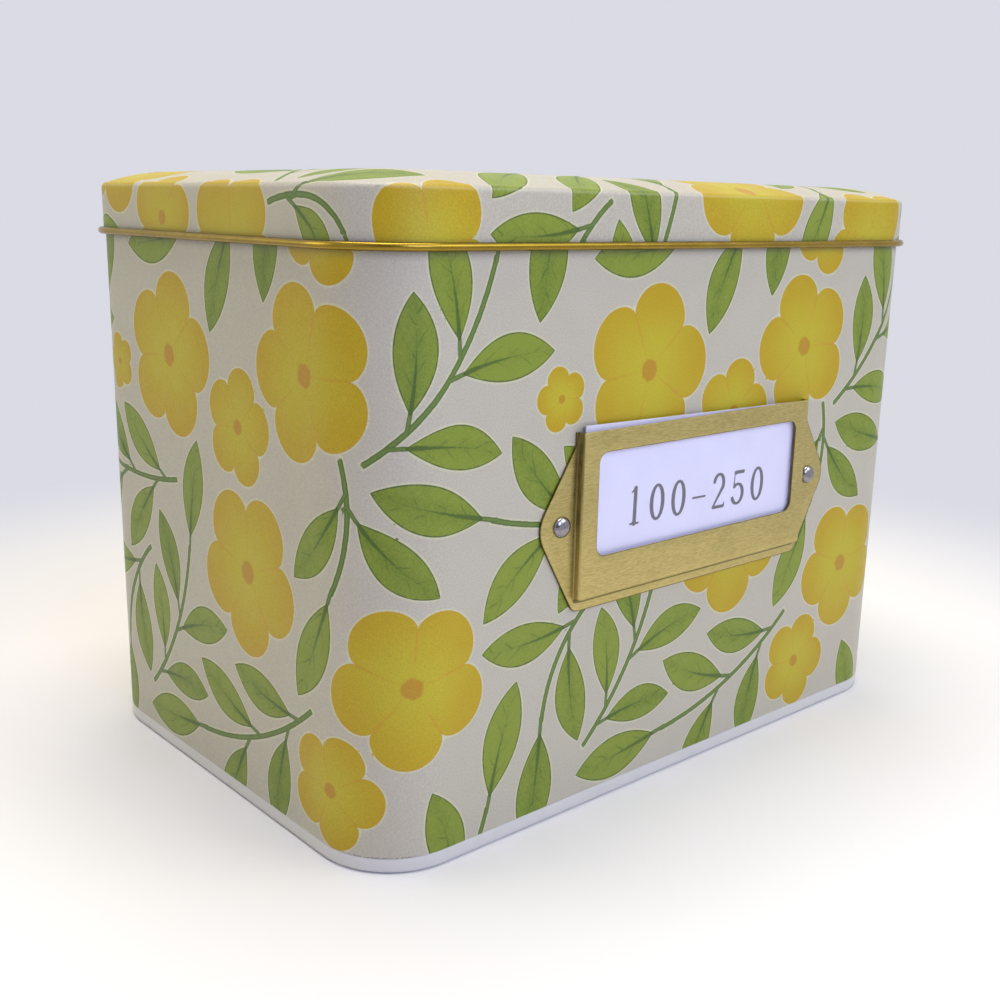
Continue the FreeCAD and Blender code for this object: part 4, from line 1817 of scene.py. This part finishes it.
@dataclass(frozen=True)
class LeaningSheet:
    """Sheet of the file, which leans back from the lower front corner of its node.

    A place at a share s of the height stands at s times the top edge's height there.
    """

    node: str
    lean_deg: float
    thickness: float

    def patches(
        self, across: Array, top: Array, rows: Array, offset: float = 0.0, side: float = 0.0,
        ink: Array | float = FAR,
    ) -> list[Patch]:
        """Patches of the sheet.

        Args:
            across: places from left to right, one for each column.
            top: height of the top edge at each column.
            rows: shares of the height, one for each row.
            offset: distance of the front from the foot along the file.
            side: distance that the sheet stands to one side.
            ink: distance from the ink of the front.

        Returns:
            Its faces and edges, whose ink mark is (ink, height, 0 on the front).
        """
        low = node_box(self.node)[0]
        lean = math.radians(self.lean_deg)
        height = rows[:, None] * top[None]
        x = np.broadcast_to(across + side, height.shape)
        y = low[1] + offset + height * math.sin(lean)
        z = low[2] + height * math.cos(lean)
        front, back = (
            np.stack([x, y + thick / math.cos(lean), z], axis=-1) for thick in (0.0, self.thickness)
        )
        return closed_sheet(front, back, [ink, height, 0.0], (FAR, 0.0, FAR))


@dataclass(frozen=True)
class Divider:
    """Coloured board with a numbered tab."""

    number: int
    lean_deg: float
    width: float = 154.0
    thickness: float = 0.45
    body_height: float = 103.5
    tab_height: float = 10.0
    tab_width: float = 46.0
    tab_slope: float = 3.0
    corner_radius: float = 3.0
    slope_radius: float = 1.0
    tab_radius: float = 2.5
    tab_places_shares: tuple[float, ...] = (-0.32, 0.0, 0.32)
    text_height: float = 5.2
    text_columns: int = 20
    text_rows: int = 22
    text_margin: float = 0.1
    plain_rows: int = 12
    plain_share: float = 0.88
    step: float = 6.0

    def build(self, board: Material) -> None:
        """Make the divider, with a fine grid behind the number on its tab.

        Args:
            board: finish of the board.
        """
        shares = self.tab_places_shares
        middle = shares[(self.number - 1) % len(shares)] * self.width
        half, edge = self.tab_width / 2, self.width / 2
        slope_half = half + self.tab_slope
        body, peak = self.body_height, self.body_height + self.tab_height
        line = rounded([
            (-edge, 0.0, 0), (-edge, body, self.corner_radius),
            (middle - slope_half, body, self.slope_radius), (middle - half, peak, self.tab_radius),
            (middle + half, peak, self.tab_radius), (middle + slope_half, body, self.slope_radius),
            (edge, body, self.corner_radius), (edge, 0.0, 0),
        ], steps=6)[1:-1]
        digit = middle + np.linspace(-0.5, 0.5, self.text_columns) * self.text_height
        stops = refined(line[:, :1], self.step)[:, 0]
        across = np.unique(np.concatenate([stops, digit]))
        top = np.interp(across, line[:, 0], line[:, 1])
        text_middle = peak - self.tab_height / 2
        half_text = 0.5 + self.text_margin
        lines = np.linspace(-half_text, half_text, self.text_rows) * self.text_height
        plain = np.linspace(0.0, self.plain_share, self.plain_rows)
        rows = np.unique(np.concatenate([plain, (text_middle + lines) / peak, [1.0]]))
        height = rows[:, None] * top[None]
        x = np.broadcast_to(across, height.shape) - middle
        ink = Lettering(self.text_height).gap(str(self.number), x, height - text_middle)
        node = "divider_" + str(self.number)
        sheet = LeaningSheet(node, self.lean_deg, self.thickness)
        patches = sheet.patches(across, top, rows, ink=ink)
        piece = Piece("divider_board_" + str(self.number), patches)
        piece.make("section_" + str(self.number), Slot.BOARD, [board], [node], crease_deg=40.0)


@dataclass(frozen=True)
class CardPack:
    """Index cards that stand behind a divider, each a sheet of its own."""

    number: int
    lean_deg: float
    count: int = 12
    pack_thickness: float = 4.2
    card_thickness: float = 0.28
    width: float = 152.4
    height: float = 101.6
    corner_radius: float = 3.0
    uneven: float = 0.5
    lift_share: float = 0.8
    step: float = 12.0
    row_shares: tuple[float, ...] = (0.0, 0.18, 0.36, 0.54, 0.72, 0.9, 0.95, 0.985, 1.0)

    def build(self, paper: Material, chance: np.random.Generator) -> None:
        """Make the cards, each a little to one side and a little higher or lower.

        Args:
            paper: finish of the cards.
            chance: seeded source of the unevenness.
        """
        node = "card_pack_" + str(self.number)
        sheet = LeaningSheet(node, self.lean_deg, self.card_thickness)
        last = (self.pack_thickness - self.card_thickness) / math.cos(math.radians(self.lean_deg))
        half, radius = self.width / 2 - self.uneven, self.corner_radius
        patches = []
        for offset in np.linspace(0.0, last, self.count):
            side, lift = chance.uniform(-self.uneven, self.uneven, 2)
            top = self.height - self.uneven + lift * self.lift_share
            corners = [(-half, 0.0, 0), (-half, top, radius), (half, top, radius), (half, 0.0, 0)]
            line = rounded(corners)[1:-1]
            across = refined(line[:, :1], self.step)[:, 0]
            edge = np.interp(across, line[:, 0], line[:, 1])
            patches += sheet.patches(across, edge, np.array(self.row_shares), offset, side)
        piece = Piece("index_cards_" + str(self.number), patches)
        piece.make("section_" + str(self.number), Slot.CARD, [paper], [node], crease_deg=40.0)


@dataclass(frozen=True)
class CardFile:
    """Eight dividers, each with the cards behind it."""

    sections: int = 8
    lean_deg: float = 8.0
    seed: int = 7

    def build(self, boards: list[Material], paper: Material) -> None:
        """Make every section.

        Args:
            boards: finishes that the dividers take in turn.
            paper: finish of the cards.
        """
        chance = np.random.default_rng(self.seed)
        for number in range(1, self.sections + 1):
            Divider(number, self.lean_deg).build(boards[(number - 1) % len(boards)])
            CardPack(number, self.lean_deg).build(paper, chance)


@dataclass(frozen=True)
class Hinge:
    """Wire and straps of the lid's hinge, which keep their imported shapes."""

    nodes: tuple[str, ...] = ("hinge_wire", "hinge_strap_left", "hinge_strap_right")

    def dress(self, steel: Material) -> None:
        """Give each node its finish in its material slots.

        Args:
            steel: finish of the hinge.
        """
        for name in self.nodes:
            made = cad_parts[name]
            if not made.material_slots:
                made.data.materials.append(steel)
            for slot in made.material_slots:
                slot.material = steel
            log.info("%s: packed shape, new finish", name)


@dataclass(frozen=True)
class Lamp:
    """Soft square lamp: place and target in metres, side in metres, power in watts."""

    name: str
    place: tuple[float, float, float]
    power: float
    size: float
    colour: tuple[float, float, float]
    target: tuple[float, float, float] = (0.0, 0.0, 0.06)

    def hang(self) -> None:
        """Make the lamp, pointing at its target."""
        data = bpy.data.lights.new(self.name, "AREA")
        data.shape = "SQUARE"
        data.size = self.size
        data.energy = self.power
        data.color = self.colour
        made = bpy.data.objects.new(self.name, data)
        made.location = self.place
        aim = Vector(self.target) - Vector(self.place)
        made.rotation_euler = aim.to_track_quat("-Z", "Y").to_euler()
        bpy.context.scene.collection.objects.link(made)


@dataclass(frozen=True)
class Studio:
    """Pale floor and backdrop, soft lamps and the camera of the photograph.

    Lengths here are metres, and those of the picture pixels.
    """

    paper: Colour = paint(234, 231, 233)
    paper_roughness: float = 0.9
    pool_start: float = 0.12
    pool_end: float = 0.30
    reach: float = 4.0
    ring_start: float = 0.02
    rings: int = 24
    ring_points: int = 96
    backdrop: Colour = paint(218, 219, 228)
    sky: Colour = (1.0, 0.99, 0.97, 1.0)
    sky_strength: float = 0.16
    dim_spot: tuple[float, float, float] = (-0.62, -0.78, 0.06)
    dim_start: float = 0.70
    dim_end: float = 0.95
    dim_share: float = 0.72
    camera_place: tuple[float, float, float] = (-0.19382, -0.21456, 0.12053)
    yaw_deg: float = 41.394
    pitch_deg: float = 13.721
    roll_deg: float = 1.155
    focal_px: float = 1200.91
    picture_px: float = 1000.0
    sensor: float = 36.0
    lamps: tuple[Lamp, ...] = (
        Lamp("key_lamp", (0.50, -0.80, 0.75), 4.2, 0.7, (0.90, 1.0, 0.85)),
        Lamp("near_lamp", (-0.12, -0.60, 0.35), 1.7, 0.3, (0.49, 0.56, 1.0)),
        Lamp("back_lamp", (-0.60, 0.45, 0.35), 1.15, 0.4, (0.95, 1.0, 0.78)),
        Lamp("top_lamp", (0.0, 0.1, 1.20), 15.0, 0.9, (1.0, 0.96, 0.86)),
    )

    def floor(self) -> None:
        """Large round floor, near white about the box, that fades into the backdrop.

        Points lie on rings about the origin, at radius reach s^2 for a share s.
        """
        ring = self.reach * np.linspace(self.ring_start, 1.0, self.rings) ** 2
        turn = np.linspace(0.0, math.tau, self.ring_points + 1)[:-1]
        flat = ring[:, None, None] * ray(turn)
        points = np.concatenate([flat, np.zeros((*flat.shape[:2], 1))], axis=-1)
        index = np.arange(flat.shape[0] * flat.shape[1]).reshape(flat.shape[:2])
        beside = np.roll(index, -1, axis=1)
        faces = np.stack([index[:-1], index[1:], beside[1:], beside[:-1]], axis=-1).reshape(-1, 4)
        mesh = bpy.data.meshes.new("studio_floor")
        mesh.from_pydata(points.reshape(-1, 3).tolist(), [], faces.tolist() + [index[0].tolist()])
        mesh.shade_smooth()
        shader = Shader("studio_paper")
        length = shader.node("VectorMath", {0: shader.place})
        length.operation = "LENGTH"
        away = Value(shader, length.outputs["Value"]).spread(self.pool_start, self.pool_end)
        shader.finished(self.paper, self.paper_roughness, {})
        glow = shader.node("Emission", {"Color": self.backdrop})
        share = away * shader.shown_rays()
        layers = {0: share, 1: shader.surface.outputs[0], 2: glow.outputs[0]}
        mix = shader.node("MixShader", layers)
        shader.fill(shader.output, {"Surface": mix.outputs[0]})
        mesh.materials.append(shader.material)
        made = bpy.data.objects.new("studio_floor", mesh)
        bpy.context.scene.collection.objects.link(made)

    def world(self) -> None:
        """Even light from all round; the camera and mirrors see a plain pale backdrop.

        Mirrors see less of it about dim_spot, where the room of the photograph is dark.
        """
        world = bpy.data.worlds.new("studio_light")
        world.use_nodes = True
        tree = Tree(world.node_tree)
        place = tree.node("TexCoord").outputs["Generated"]
        spot = Vector(self.dim_spot).normalized()
        towards = tree.node("VectorMath", {0: place, 1: spot})
        towards.operation = "DOT_PRODUCT"
        level = Value(tree, towards.outputs["Value"])
        level = level.spread(self.dim_start, self.dim_end, 1.0, 1.0 - self.dim_share)
        level = level.math("MAXIMUM", tree.node("LightPath").outputs["Is Camera Ray"])
        light = tree.node("Background", {"Color": self.sky, "Strength": self.sky_strength})
        shown = tree.node("Background", {"Color": self.backdrop, "Strength": level})
        layers = {0: tree.shown_rays(), 1: light.outputs[0], 2: shown.outputs[0]}
        mix = tree.node("MixShader", layers)
        tree.node("OutputWorld", {"Surface": mix.outputs[0]})
        bpy.context.scene.world = world

    def camera(self) -> None:
        """Camera of the photograph, from its fitted place, angles and focal length."""
        yaw, pitch, roll = (math.radians(a) for a in (self.yaw_deg, self.pitch_deg, self.roll_deg))
        level = math.cos(pitch)
        ahead = Vector((math.sin(yaw) * level, math.cos(yaw) * level, -math.sin(pitch)))
        right = Vector((math.cos(yaw), -math.sin(yaw), 0.0))
        above = right.cross(ahead)
        turned = right * math.cos(roll) + above * math.sin(roll)
        above = above * math.cos(roll) - right * math.sin(roll)
        data = bpy.data.cameras.new("photo_camera")
        data.sensor_width = self.sensor
        data.lens = self.focal_px * self.sensor / self.picture_px
        data.clip_start = 0.01
        data.clip_end = 20.0
        made = bpy.data.objects.new("photo_camera", data)
        axes = Matrix((turned, above, -ahead)).transposed().to_4x4()
        made.matrix_world = Matrix.Translation(self.camera_place) @ axes
        bpy.context.scene.collection.objects.link(made)
        bpy.context.scene.camera = made

    def build(self) -> None:
        """Make the stage, the light and the camera."""
        bpy.context.scene.view_settings.view_transform = "Standard"
        self.camera()
        self.floor()
        self.world()
        for lamp in self.lamps:
            lamp.hang()


def write_sizes() -> None:
    bpy.context.view_layer.update()


def main() -> None:
    """Build the stage and then every sub-assembly in order."""
    logging.basicConfig(level=logging.INFO, format="%(name)s: %(message)s")
    Studio().build()
    finishes = [
        PrintedTin(),
        Metal("bare_tinplate", paint(196, 196, 194), paint(168, 168, 166), 0.34, 0.5, (1, 1, 18)),
        Enamel(),
        Metal("gold_lacquer", paint(162, 134, 50), paint(150, 123, 44), 0.26, 2.5, (3, 3, 1),
              relief=0.0, uneven=0.02, creased=True),
        Metal("holder_brass", paint(209, 192, 128), paint(180, 162, 98), 0.38, 0.15, (10, 1, 1),
              relief=0.006, creased=True),
        Metal("rivet_steel", paint(158, 154, 158), paint(140, 136, 140), 0.12,
              relief=0.0, uneven=0.03),
        Metal("hinge_steel", paint(190, 190, 190), paint(160, 160, 160), 0.32, 0.4, (8, 1, 1)),
        Paper("label_paper", paint(223, 220, 245), paint(217, 214, 239), roughness=0.55),
        Paper("card_paper", paint(238, 236, 228), paint(230, 227, 217), ruled=True),
        Paper("board_cream", paint(226, 216, 184), paint(212, 200, 164)),
        Paper("board_yellow", paint(222, 196, 96), paint(208, 180, 80)),
        Paper("board_green", paint(152, 170, 98), paint(136, 154, 84)),
    ]
    made = [finish.material() for finish in finishes]
    printed, tinplate, enamel, gold, brass, nickel, steel, label, cards, *boards = made
    tin = Tin.from_frame()
    BodyWall(tin).build(printed, tinplate)
    BasePan(tin).build(enamel)
    Lid.from_frame(tin).build(printed, tinplate, gold)
    holder = LabelHolder.from_frame()
    holder.build(brass)
    for side in ("left", "right"):
        Rivet(holder.wall, side).build(nickel)
    LabelCard(holder).build(label)
    Hinge().dress(steel)
    CardFile().build(boards, cards)
    write_sizes()


if __name__ == "__main__":
    main()
